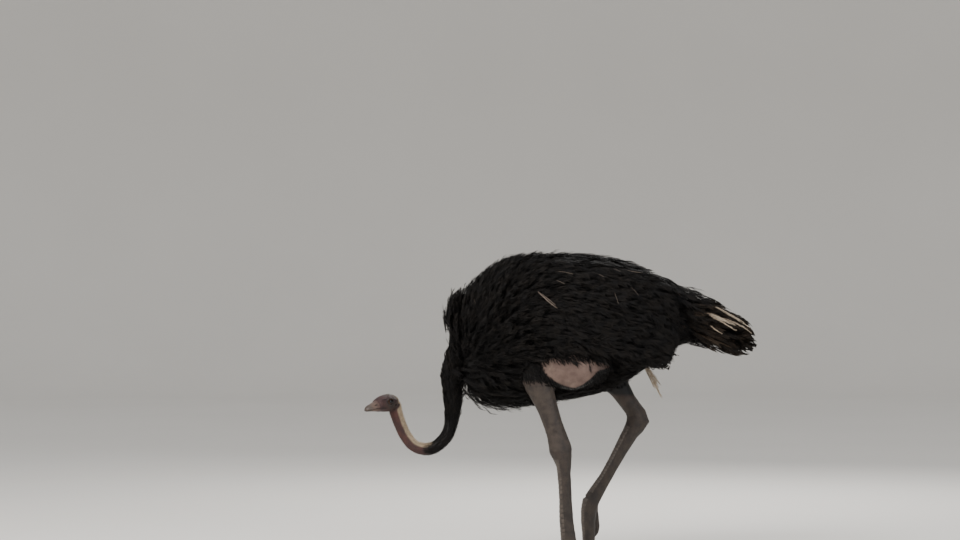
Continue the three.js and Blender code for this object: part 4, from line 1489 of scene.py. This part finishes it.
def mark_skin(skin, zones):
    """Stores where the skin is bare, where it lies under the coat and is painted near black as shade, and
    which part it belongs to, for its paint.
    """
    at, x, y, z = zones.face, zones.x, zones.y, zones.z
    mesh = skin.data
    bare_leg = (zones.leg > 0.5) * ramp(z - zones.hem, 0.022, -0.010)
    patch = ramp(zones.patch, 0.001, -0.007)
    neck = (zones.neck > 0.3) * ramp(zones.along, 0.37, 0.47)
    on_neck = np.maximum(zones.neck * ramp(zones.along, 0.30, 0.36), x < -0.54)
    on_head = zones.head
    bare = np.maximum.reduce([bare_leg, patch, neck, on_head, (x < -0.58) * 1.0])
    # painted shade: the skin under the coat is marked to be painted near black
    store(mesh, "shade_under_coat", 1 - bare)
    store(mesh, "leg", bare_leg * (1 - patch))
    store(mesh, "foot", ramp(z, 0.42, 0.10))
    hock = np.where(y < 0, HOCKS["left"][2], HOCKS["right"][2])
    store(mesh, "scaly", bare_leg * ramp(z - hock, 0.055, -0.035) * (x > -0.35))
    store(mesh, "flush", ramp(x - PATCH_BACK["right"] * (y > 0), 0.085, 0.175))
    store(mesh, "on_neck", on_neck)
    store(mesh, "on_head", on_head)
    hind = on_head * ramp(at[:, 0], -16, 4) * ramp(at[:, 2], -14, 6)
    store(mesh, "nape", np.maximum(zones.pale_lit_stripe * (on_head < 0.5), hind))
    # the neck's base under its plumage is painted near black: partly its own dark colour, partly painted
    # shade
    store(mesh, "dark_shaded_neck_base", ramp(zones.along, 0.640, 0.560) * (x < -0.4))
    cheek = swell(np.hypot((at[:, 0] + 40) / 30, (at[:, 2] + 6) / 22), 1.0)
    store(mesh, "cheek", cheek * ramp(np.abs(at[:, 1]), 10, 22))
    ear_shade_and_jaw = swell(np.hypot((at[:, 0] + 26) / 20, (at[:, 2] + 24) / 12), 1.0) * 0.8
    rim, mouth_crease_shade = np.zeros(len(x)), np.zeros(len(x))
    for sign in SIDES.values():
        beside = at[:, 1] * sign > 0
        radius, level, _, _ = eye_angles(at, sign)
        rim = np.maximum(rim, beside * ramp(level, 1.24, 1.12) * (radius < 26))
        # painted shade in each ear opening
        ear_shade_and_jaw = np.maximum(ear_shade_and_jaw, beside * ramp(off_ear(at), 1.3, 0.8) * (at[:, 1] * sign > 8))
        # painted shade: a dark line along the mouth's crease
        mouth_crease_shade = np.maximum(mouth_crease_shade, beside * ramp(np.abs(off_mouth(at)), 1.7, 0.5) * ramp(at[:, 0], -58, -64))
    store(mesh, "ear_shade_and_jaw", ear_shade_and_jaw * on_head)
    store(mesh, "rim", np.maximum(rim, mouth_crease_shade) * on_head)


# ------------------------------------------------------------------ scutes, lashes

# Down the front of each shank and along the top of each toe: the line's places, how far round the limb
# the plates reach to each side, in radians, and how many there are.
SCUTE_ROWS = {
    "left": (
        ([(-0.016, -0.127, 0.462), (-0.008, -0.123, 0.395), (0.000, -0.115, 0.255), (0.011, -0.107, 0.115),
          (0.016, -0.104, 0.088)], 1.15, 29),
        ([(-0.004, -0.102, 0.049), (-0.024, -0.101, 0.037), (-0.052, -0.099, 0.031), (-0.096, -0.097, 0.025),
          (-0.138, -0.096, 0.022), (-0.172, -0.096, 0.018)], 1.05, 21),
        ([(-0.006, -0.133, 0.035), (-0.020, -0.138, 0.030), (-0.046, -0.154, 0.020), (-0.078, -0.168, 0.016),
          (-0.098, -0.176, 0.013)], 1.0, 13)),
    "right": (
        ([(0.306, 0.127, 0.575), (0.266, 0.123, 0.506), (0.228, 0.118, 0.438), (0.190, 0.113, 0.370),
          (0.150, 0.108, 0.306), (0.136, 0.104, 0.282)], 1.15, 26),
        ([(0.122, 0.102, 0.262), (0.108, 0.100, 0.212), (0.106, 0.099, 0.168), (0.108, 0.098, 0.120),
          (0.108, 0.098, 0.076), (0.098, 0.098, 0.038), (0.084, 0.098, 0.020)], 1.05, 24),
        ([(0.130, 0.130, 0.225), (0.128, 0.140, 0.204), (0.138, 0.154, 0.160), (0.140, 0.162, 0.122),
          (0.134, 0.166, 0.101)], 1.0, 14)),
}
REACH = 0.05  # metres out of a limb's middle line from where its surface is looked for
TORN = 3.2  # a plate with a gap this many times its mean gap is left out


def scute_row(line, sweep, count, solid):
    """Overlapping plates down one line: each bends round the limb and lifts towards its lower edge."""
    across, down = 11, 6
    turns = np.linspace(-1, 1, across)
    verts, edge, faces = [], [], []
    rows = curve_through(line, np.linspace(0, 1, count * (down - 1) + 1))
    ways = unit(np.gradient(rows, axis=0))
    for plate in range(count):
        grid, rims = [], []
        for step in range(down):
            i = min(plate * (down - 1) + step, len(rows) - 1)
            ahead = Vector(ways[i])
            side = Vector((0, 1, 0)) - ahead * ahead.y
            side.normalize()
            front = side.cross(ahead)
            front = front if front.x * -1 + front.z * 0.2 > 0 else -front
            middle = Vector(rows[i]) + Vector((SHIFT, 0, 0))
            fall = step / (down - 1)
            for turn in turns:
                bow = 0.20 * (1 - turn * turn) / count * np.linalg.norm(rows[-1] - rows[0])
                way = front * math.cos(turn * sweep) + side * math.sin(turn * sweep)
                start = middle + ahead * (bow if 0 < step else 0) + way * REACH
                place, normal, _, _ = solid.ray_cast(start, -way, REACH)
                if place is None:
                    place, normal = middle, way
                rim = max(abs(turn) ** 4, abs(2 * fall - 1) ** 6)
                rise = 0.0004 + 0.0011 * fall ** 0.7 if rim < 0.98 else -0.0005
                grid.append(place + normal * rise)
                rims.append(min(1.0, rim))
        gaps = [(grid[i] - grid[i + 1]).length for i in range(len(grid) - 1) if (i + 1) % across]
        if max(gaps) > TORN * sum(gaps) / len(gaps):
            continue
        first = len(verts)
        verts += grid
        edge += rims
        for step in range(down - 1):
            for k in range(across - 1):
                a = first + step * across + k
                faces.append((a, a + 1, a + across + 1, a + across))
    return verts, faces, edge


def make_scutes(side, solid):
    """The horny plates of one leg, as one piece."""
    verts, faces, edge = [], [], []
    for line, sweep, count in SCUTE_ROWS[side]:
        row = scute_row(line, sweep, count, solid)
        faces += [tuple(len(verts) + i for i in face) for face in row[1]]
        verts += row[0]
        edge += row[2]
    plates = mesh_object(f"scutes_{side}", verts, faces)
    out = normals_of(plates.data)
    co = points_of(plates.data)
    inward = [out[i].dot(np.array(solid.find_nearest(Vector(co[i]))[1])) < 0 for i in range(0, len(co), 7)]
    if np.mean(inward) > 0.5:
        plates.data.flip_normals()
    store(plates.data, "edge", edge)
    return plates


def spine(name, length, thick, bend):
    """One stiff lash: two crossed blades that curve up to a point."""
    tuft = Tuft(name, length, thick)
    points = [np.array([length * u, 0, bend * length * u * u]) for u in np.linspace(0, 1, 6)]
    widths = thick * np.linspace(1, 0.4, 5)
    tuft.blade(points, np.array([0, 1, 0]), widths)
    tuft.blade(points, np.array([0, 0, 1.0]), widths)
    return tuft.made()


def lash_roots():
    """Where the lashes of both upper lids stand."""
    roots = []
    turned = HEAD_PLACE.to_3x3()
    for sign in SIDES.values():
        out, fore, over = eye_axes(sign)
        for k, turn in enumerate(np.linspace(*LASH_ARC, 17)):
            place = eye_middle(sign) + lid_way(sign, turn) * (LID_RADIUS + 0.7)
            lie = (out * 0.85 + over * 0.45 + fore * math.cos(turn) * 0.55).normalized()
            roots.append({"at": HEAD_PLACE @ (place * MM), "lie": (turned @ lie).normalized(),
                          "out": (turned @ over).normalized(), "size": 1.0 - 0.28 * abs(math.cos(turn)),
                          "lift": 0.10 * math.sin(k * 2.3), "root_uv": (0.24, 0.92, 0)})
    return roots


# ------------------------------------------------------------------ the layers of the coat

def solid_side(x, z, sign, solid):
    """The hull's outermost point at a place on one side, and the way out there."""
    start = Vector((x + SHIFT, 2.0 * sign, z))
    place, normal, _, _ = solid.ray_cast(start, Vector((0, -sign, 0)))
    return place, normal


SHORT, LAX, TAIL, PALE = 0.09, 0.19, 0.26, 0.14  # the plumes' own lengths in metres, before they are sized
GOLDEN = 2.4  # radians: steps of this spread a row of roots evenly

# Pale plumes over the black: where each starts and ends, x and z, on the left side.
WISPS = (
    (-0.123, 1.184, -0.035, 1.091), (-0.112, 1.176, -0.052, 1.118), (-0.045, 1.232, -0.010, 1.202),
    (-0.036, 1.268, 0.046, 1.238), (-0.395, 1.150, -0.368, 1.128), (0.277, 1.201, 0.306, 1.158),
    (0.265, 1.272, 0.330, 1.254), (0.205, 1.279, 0.238, 1.252), (0.120, 1.262, 0.160, 1.222),
    (0.205, 1.178, 0.226, 1.128), (0.492, 1.206, 0.540, 1.186), (0.478, 1.180, 0.515, 1.160))
# Pale plumes along the top of the tail, laid only on its lit upper edge and so partly painted light.
TAIL_WISPS = (
    (0.640, 1.124, 0.776, 1.066), (0.650, 1.120, 0.790, 1.052), (0.615, 1.092, 0.742, 1.040),
    (0.622, 1.084, 0.750, 1.030), (0.630, 1.078, 0.744, 1.022), (0.690, 1.070, 0.828, 1.004),
    (0.700, 1.090, 0.822, 1.022), (0.626, 1.040, 0.690, 0.986), (0.500, 1.196, 0.560, 1.180))


def pale_roots(rows, solid, deep, sides):
    """Where pale plumes stand, this deep in the hull; each is as long as its row says."""
    roots = []
    for x0, z0, x1, z1 in rows:
        for sign in sides:
            place, out = solid_side(x0, z0, sign, solid)
            lie = Vector((x1 - x0, 0, z1 - z0))
            roots.append({"at": place - out * deep, "out": out, "lie": lie.normalized(),
                          "size": lie.length / PALE, "lift": 0.05, "root_uv": (body_u(x0), 0.3, 0)})
    return roots


def hanging_roots():
    """The loose pale plume that hangs under the right wing."""
    roots = []
    for k in range(7):
        at = Vector((0.340 + SHIFT + 0.004 * k, 0.168 + 0.004 * math.sin(k * 2.1), 0.880 - 0.003 * k))
        roots.append({"at": at, "out": Vector((0.12 * math.cos(k), 1, 0.12 * math.sin(k))).normalized(),
                      "lie": Vector((0.52 + 0.020 * (k % 3), 0.04 * math.cos(k * 1.7), -0.85)).normalized(),
                      "size": (0.128 + 0.007 * (k % 4)) / PALE, "lift": 0.05, "root_uv": (0.6, 0.5, 0)})
    return roots


def throat_roots(solid):
    """The plumes that round off the dip between the breast and the root of the neck."""
    roots = []
    for k in range(90):
        aside, z = 0.075 * math.sin(k * GOLDEN), 0.998 + 0.0013 * k
        place, out, _, _ = solid.ray_cast(Vector((-1.0, aside, z)), Vector((1, 0, 0)))
        if place is not None:
            lie = Vector((0, 0.4 * aside, 1)) + out * 0.02
            roots.append({"at": place, "out": out, "lie": lie.normalized(),
                          "size": (0.070 + 0.006 * (k % 4)) / LAX, "lift": 0.10,
                          "root_uv": (0.08, 0.30 + aside, 0)})
    return roots


def belly_roots(solid):
    """The plumes that hang from under the breast."""
    roots = []
    for k in range(240):
        x, aside = -0.462 + 0.0014 * k, 0.115 * math.sin(k * GOLDEN)
        place, out, _, _ = solid.ray_cast(Vector((x + SHIFT, aside, 0.5)), Vector((0, 0, 1)))
        if place is not None and out.z < -0.3:
            front = float(ramp(x, -0.34, -0.44))
            lie = Vector((1, 0.9 * aside, 0)) - out * out.x
            roots.append({"at": place - out * 0.004, "out": out, "lie": lie.normalized(),
                          "size": (0.092 + 0.008 * (k % 4)) / LAX, "lift": 0.12 + 0.20 * front,
                          "root_uv": (0.10 + 0.3 * (x + 0.46), 0.30 + aside, 0)})
    return roots


# Root, vane and tip colours; the darker root colour is painted shade at the plumes' bases.
BLACK = ((0.0030, 0.0028, 0.0028), (0.0066, 0.0062, 0.0064), (0.0110, 0.0092, 0.0080))
# The tail's plumes are painted black: partly the black of its coverts, partly painted shade over plumes that
# are pale.
TAIL_BLACK_AND_SHADE = ((0.0040, 0.0035, 0.0033), (0.0085, 0.0073, 0.0066), (0.024, 0.017, 0.012))


def make_plumage(coat, solid):
    """Short plumes all over the body and neck, long lax plumes over them, and the tail."""
    zones = coat.zones
    black = plume_paint("black_plumage", *BLACK)
    tail_black_and_shade = plume_paint("tail_plumage", *TAIL_BLACK_AND_SHADE, odd=(0.90, (0.046, 0.034, 0.025)))
    torso = (zones.neck <= 0.3) & ~zones.limb
    stub = torso & (zones.x > 0.46)
    body = torso & ~stub
    lie = flow(zones)
    make_short_plumes(coat, solid, body, lie, black)
    make_lax_plumes(coat, solid, body, lie, black)
    make_tail_plumes(coat, solid, stub, tail_black_and_shade)


def make_short_plumes(coat, solid, body, lie, paint):
    """The lower layer: all over the body, the neck and the thighs."""
    zones = coat.zones
    x, z, left = zones.x, zones.z, zones.y < 0
    shorts = plume_set("short", 4, 40, SHORT, 0.026, 11, flicks=(-0.08, 0.05), thick=0.26)
    length = 0.075 + 0.02 * ramp(x, -0.30, 0.1)
    length = np.where(zones.neck > 0.3, 0.015 + 0.055 * ramp(zones.along, 0.52, 0.12), length)
    fringe = body & (zones.patch < 0.060)
    length = np.where(zones.limb, 0.050, np.where(fringe, 0.055, length))
    short = plumage_fields(zones, solid, lie, length, 0.62)
    side = body & ~fringe & (x >= -0.20) & (z <= 1.16)
    areas = {
        "plumage_breast": body & ~fringe & (x < -0.20), "plumage_back": body & (x >= -0.20) & (z > 1.16),
        "plumage_side_left": side & left, "plumage_side_right": side & ~left,
        "plumage_neck": zones.neck > 0.3, "plumage_fringe": fringe,
        "plumage_thigh_left": zones.limb & left, "plumage_thigh_right": zones.limb & ~left}
    spacings = {"plumage_neck": 0.0062, "plumage_fringe": 0.0085,
                "plumage_thigh_left": 0.0085, "plumage_thigh_right": 0.0085}
    for n, (name, keep) in enumerate(areas.items()):
        proud = 0.022 if name.startswith("plumage_thigh") else 0.006
        coat.over(name, keep, short, shorts, SHORT, paint, "plumage_black", 100 + n,
                  Spacing=spacings.get(name, 0.0165), Yaw=0.35, Roll=0.35, Proud=proud, Longest=0.036)
    cleared(shorts)


def make_lax_plumes(coat, solid, body, lie, paint):
    """The upper layer: long plumes over the body, but for the corner under the rump."""
    zones = coat.zones
    x, z, left = zones.x, zones.z, zones.y < 0
    corner = (x > 0.335) & (z < 0.90)
    longs = plume_set("lax", 5, 60, LAX, 0.038, 18, flicks=(-0.12, 0.06), loose=0.24, thick=0.185)
    length = 0.120 + 0.055 * ramp(x, -0.40, 0.0) + 0.020 * ramp(x, 0.1, 0.4)
    length = length - 0.03 * ramp(z, 0.95, 0.80) * ramp(x, -0.25, -0.10)
    lax = plumage_fields(zones, solid, lie, length, 1.0, 0.016)
    lax["thick"] = lax["thick"] * (lax["length"] > 0.045)
    lax["lift"] = lax["lift"] * (1 + 0.35 * ramp(z, 0.86, 0.78))
    breast, side = body & (x < -0.14), body & (x >= -0.14) & (z <= 1.20) & ~corner
    areas = {
        "lax_breast_left": breast & left, "lax_breast_right": breast & ~left,
        "lax_back": body & (x >= -0.14) & (z > 1.20),
        "lax_side_left": side & left, "lax_side_right": side & ~left}
    for n, (name, keep) in enumerate(areas.items()):
        coat.over(name, keep, lax, longs, LAX, paint, "plumage_black", 120 + n, Spacing=0.0150, Yaw=0.30,
                  Roll=0.40, Proud=0.010 if "breast" in name else 0.006, Longest=0.066)
    for name, roots, seed, proud in (("throat_plumes", throat_roots(solid), 130, 0.033),
                                     ("belly_plumes", belly_roots(solid), 131, 0.038)):
        coat.placed(name, roots, longs, paint, "plumage_black", seed, Yaw=0.24, Roll=0.40, Proud=proud,
                    Longest=0.066)
    cleared(longs)


def make_tail_plumes(coat, solid, stub, paint):
    """The drooping tail, each plume of which grows as far as the hull has room; painted black, partly its
    coverts' own colour and partly painted shade.
    """
    zones = coat.zones
    x, y = zones.x, zones.y
    plumes = plume_set("tail", 4, 80, TAIL, 0.036, 22, rise=0.10, droop=0.14, blunt=1.0)
    lie = onto_skin(np.array([0.93, 0, -0.26]) + np.stack([0 * x, 2.4 * y, 0 * x], 1), zones.out)
    tail = plumage_fields(zones, solid, lie, np.full(len(x), 0.22), 1.0)
    tail["lift"] = 0.18 + 0.45 * ramp(np.abs(y), 0.0, 0.05) * (zones.out[:, 2] < 0.8)
    ways = lifted(tail["lie"], tail["lift"], zones.out)
    here = np.flatnonzero(stub)
    tail["length"] = np.full(len(x), 0.2)
    tail["length"][here] = np.clip(room_along(zones.co[here], ways[here], 0.36, solid), 0.06, 0.30)
    coat.over("tail_plumes", stub, tail, plumes, TAIL, paint, "plumage_tail", 140, Spacing=0.0120,
              Yaw=0.28, Longest=0.090)
    cleared(plumes)


FREE = 1.0  # metres a tuft may stand out of the hull when nothing has to hold it in


def make_pale_plumes(coat, solid):
    """White and buff plumes: stray ones over the back, some along the tail's lit top and so partly painted
    light, one loose under the right wing.
    """
    # the first colour of each paint is its root's, darker as painted shade
    cream = plume_paint("pale_plumage", (0.22, 0.16, 0.12), (0.40, 0.32, 0.235), (0.50, 0.42, 0.32), 0.3)
    dull = plume_paint("stray_plumage", (0.10, 0.075, 0.06), (0.21, 0.165, 0.135), (0.29, 0.24, 0.19), 0.3)
    slim = plume_set("slim", 4, 90, PALE, 0.0050, 34, rise=0.05, droop=0.06, loose=0.08, thick=0.20)
    coat.placed("stray_plumes", pale_roots(WISPS, solid, -0.009, (-1,)), slim, dull, "plumage_white", 301,
                Yaw=0.10, Proud=0.040)
    cleared(slim)
    soft = plume_set("soft", 4, 95, PALE, 0.011, 34, rise=0.08, droop=0.10, loose=0.16, thick=0.24)
    coat.placed("tail_plumes_pale", pale_roots(TAIL_WISPS, solid, 0.0, (-1, 1)), soft, cream,
                "plumage_tail", 303, Yaw=0.10, Proud=0.010)
    cleared(soft)
    loose = plume_set("loose", 3, 99, PALE, 0.019, 26, rise=0.04, droop=0.16, loose=0.20, thick=0.17)
    coat.placed("hanging_plumes", hanging_roots(), loose, cream, "plumage_white", 302, Yaw=0.08, Proud=FREE)
    cleared(loose)


def make_down_and_bristles(coat):
    """Pale down along the nape, laid only on the lit inner side of the neck's U and so partly painted light,
    thin hair on neck and head, lashes on the upper lids.
    """
    zones = coat.zones
    at, nape = zones.face, zones.nape
    # the first colour of each paint is its root's, darker as painted shade
    down_paint = plume_paint("nape_down", (0.30, 0.23, 0.16), (0.47, 0.37, 0.26), (0.62, 0.51, 0.37), 0.3)
    hair_paint = plume_paint("dark_hair", (0.030, 0.018, 0.014), (0.085, 0.060, 0.045),
                             (0.150, 0.115, 0.085), 0.3)
    lash_paint = plume_paint("lashes", (0.006, 0.004, 0.004), (0.010, 0.007, 0.006),
                             (0.014, 0.010, 0.008), 0.4)
    lie = np.where(zones.head[:, None] > 0.5, zones.hindward, -zones.ahead)
    base = {"lie": onto_skin(lie, zones.out), "root_uv": zones.unwrapped}
    on_neck = (zones.neck > 0.3) & (zones.head < 0.5)
    count = len(zones.x)

    down = kept_aside("down", [spray(f"down_{i}", 0.014, 0.30, 6, 0.00024, 70 + i) for i in range(4)])
    behind = (zones.head > 0.3) * ramp(at[:, 0], -14, 2) * ramp(at[:, 2], -16, 4)
    # pale down only on the nape stripe: partly painted light on the lit side of the neck
    thick = np.maximum(on_neck * zones.pale_lit_stripe, behind)
    length = 0.0095 + 0.004 * ramp(nape, 0.3, 0.9)
    fields = base | {"thick": thick, "length": length, "lift": np.full(count, 0.42)}
    coat.over("nape_down", thick > 0.01, fields, down, 0.014, down_paint, "plumage_white", 310,
              Spacing=0.0021, Yaw=0.45, Clear=0.0003, Proud=FREE)
    cleared(down)

    hair = kept_aside("hair", [spray(f"hair_{i}", 0.010, 0.32, 3, 0.00020, 75 + i) for i in range(4)])
    thick = on_neck * ramp(zones.along, 0.46, 0.52) * (1 - zones.pale_lit_stripe) * 0.8
    fields = base | {"thick": thick, "length": np.full(count, 0.0075), "lift": np.full(count, 0.36)}
    coat.over("neck_hair", thick > 0.01, fields, hair, 0.010, hair_paint, "plumage_white", 311,
              Spacing=0.0036, Yaw=0.5, Clear=0.0003, Proud=FREE)
    crown = ramp(at[:, 2], 6, 26) * ramp(at[:, 0], -96, -70)
    ear = swell(off_ear(at, 9, 10), 1.0)
    rear = ramp(at[:, 0], -34, -14)
    level = np.minimum(*(eye_angles(at, sign)[1] for sign in SIDES.values()))
    thick = (zones.head > 0.5) * (0.30 + 0.80 * crown + 0.7 * ear + 0.5 * rear) * ramp(level, 1.30, 1.65)
    thick *= ramp(at[:, 0], -101, -96)
    size = 0.0030 + 0.0048 * np.maximum(crown * ramp(at[:, 0], -80, -40), rear) + 0.002 * ear
    fields = base | {"thick": np.clip(thick, 0, 1), "length": size, "lift": 0.35 + 0.25 * crown}
    coat.over("head_hair", thick > 0.01, fields, hair, 0.010, hair_paint, "plumage_white", 312,
              Spacing=0.0018, Yaw=0.35, Clear=0.0002, Proud=FREE)
    cleared(hair)

    lashes = kept_aside("lashes", [spine(f"lash_{i}", 0.012, 0.00030, 0.30 + 0.08 * i) for i in range(3)])
    coat.placed("lashes", lash_roots(), lashes, lash_paint, "plumage_black", 320, Yaw=0.12, Roll=0.1,
                Size_Spread=0.1, Clear=0.0002, Proud=FREE)
    cleared(lashes)


# ------------------------------------------------------------------ the bird

def stands_for(piece, paint, nodes):
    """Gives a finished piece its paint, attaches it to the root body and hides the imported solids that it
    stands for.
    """
    piece.data.materials.clear()
    piece.data.materials.append(paint)
    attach(piece, "root")
    if nodes:
        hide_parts(*nodes)


def make_bird():
    """Every piece: the skin, the coat over it, then scutes, eyes, claws and bill."""
    skin = shape_face(make_skin())
    zones = Zones(skin.data)
    shape_neck_and_legs(skin, zones)
    skin.data.shade_smooth()
    hull = make_hull()
    solid = tree_of(hull.data)
    zones.deep = np.full(len(zones.co), 0.004)
    near = np.flatnonzero((zones.x > -0.56) & ((zones.z > 0.74) | (zones.x < -0.3)))
    zones.deep[near] = np.maximum(0.003, room_along(zones.co[near], zones.out[near], 0.085, solid))
    zones.unwrapped = skin_map(zones)
    mark_skin(skin, zones)
    coat = Coat(skin, zones, hull)
    make_plumage(coat, solid)
    make_pale_plumes(coat, solid)
    make_down_and_bristles(coat)
    bpy.data.objects.remove(hull)
    flesh = [node for node in frame["nodes"] if not node.startswith(("bill", "eye", "claw"))]
    stands_for(skin, skin_paint(), flesh)
    limbs = tree_of(skin.data)
    plate_paint = scute_paint()
    wet = eye_paint()
    nail = horn_paint("claw_horn", (0.045, 0.034, 0.028), (0.070, 0.055, 0.045), (0.150, 0.120, 0.095),
                      (6, 1, 1), 0.0004)
    horn = horn_paint("bill_horn", (0.066, 0.033, 0.029), (0.105, 0.068, 0.053), (0.066, 0.049, 0.041),
                      (0.5, 2, 2), 0.00009)
    for side, sign in SIDES.items():
        stands_for(make_scutes(side, limbs), plate_paint, ())
        stands_for(eyeball(f"eyeball_{side}", sign), wet, [f"eye_{side}"])
        stands_for(make_claw(side), nail, [f"claw_{side}"])
    for bill, node in zip(make_bill(), ("bill_upper", "bill_lower")):
        stands_for(bill, horn, [node])


make_camera()
make_studio()
make_bird()
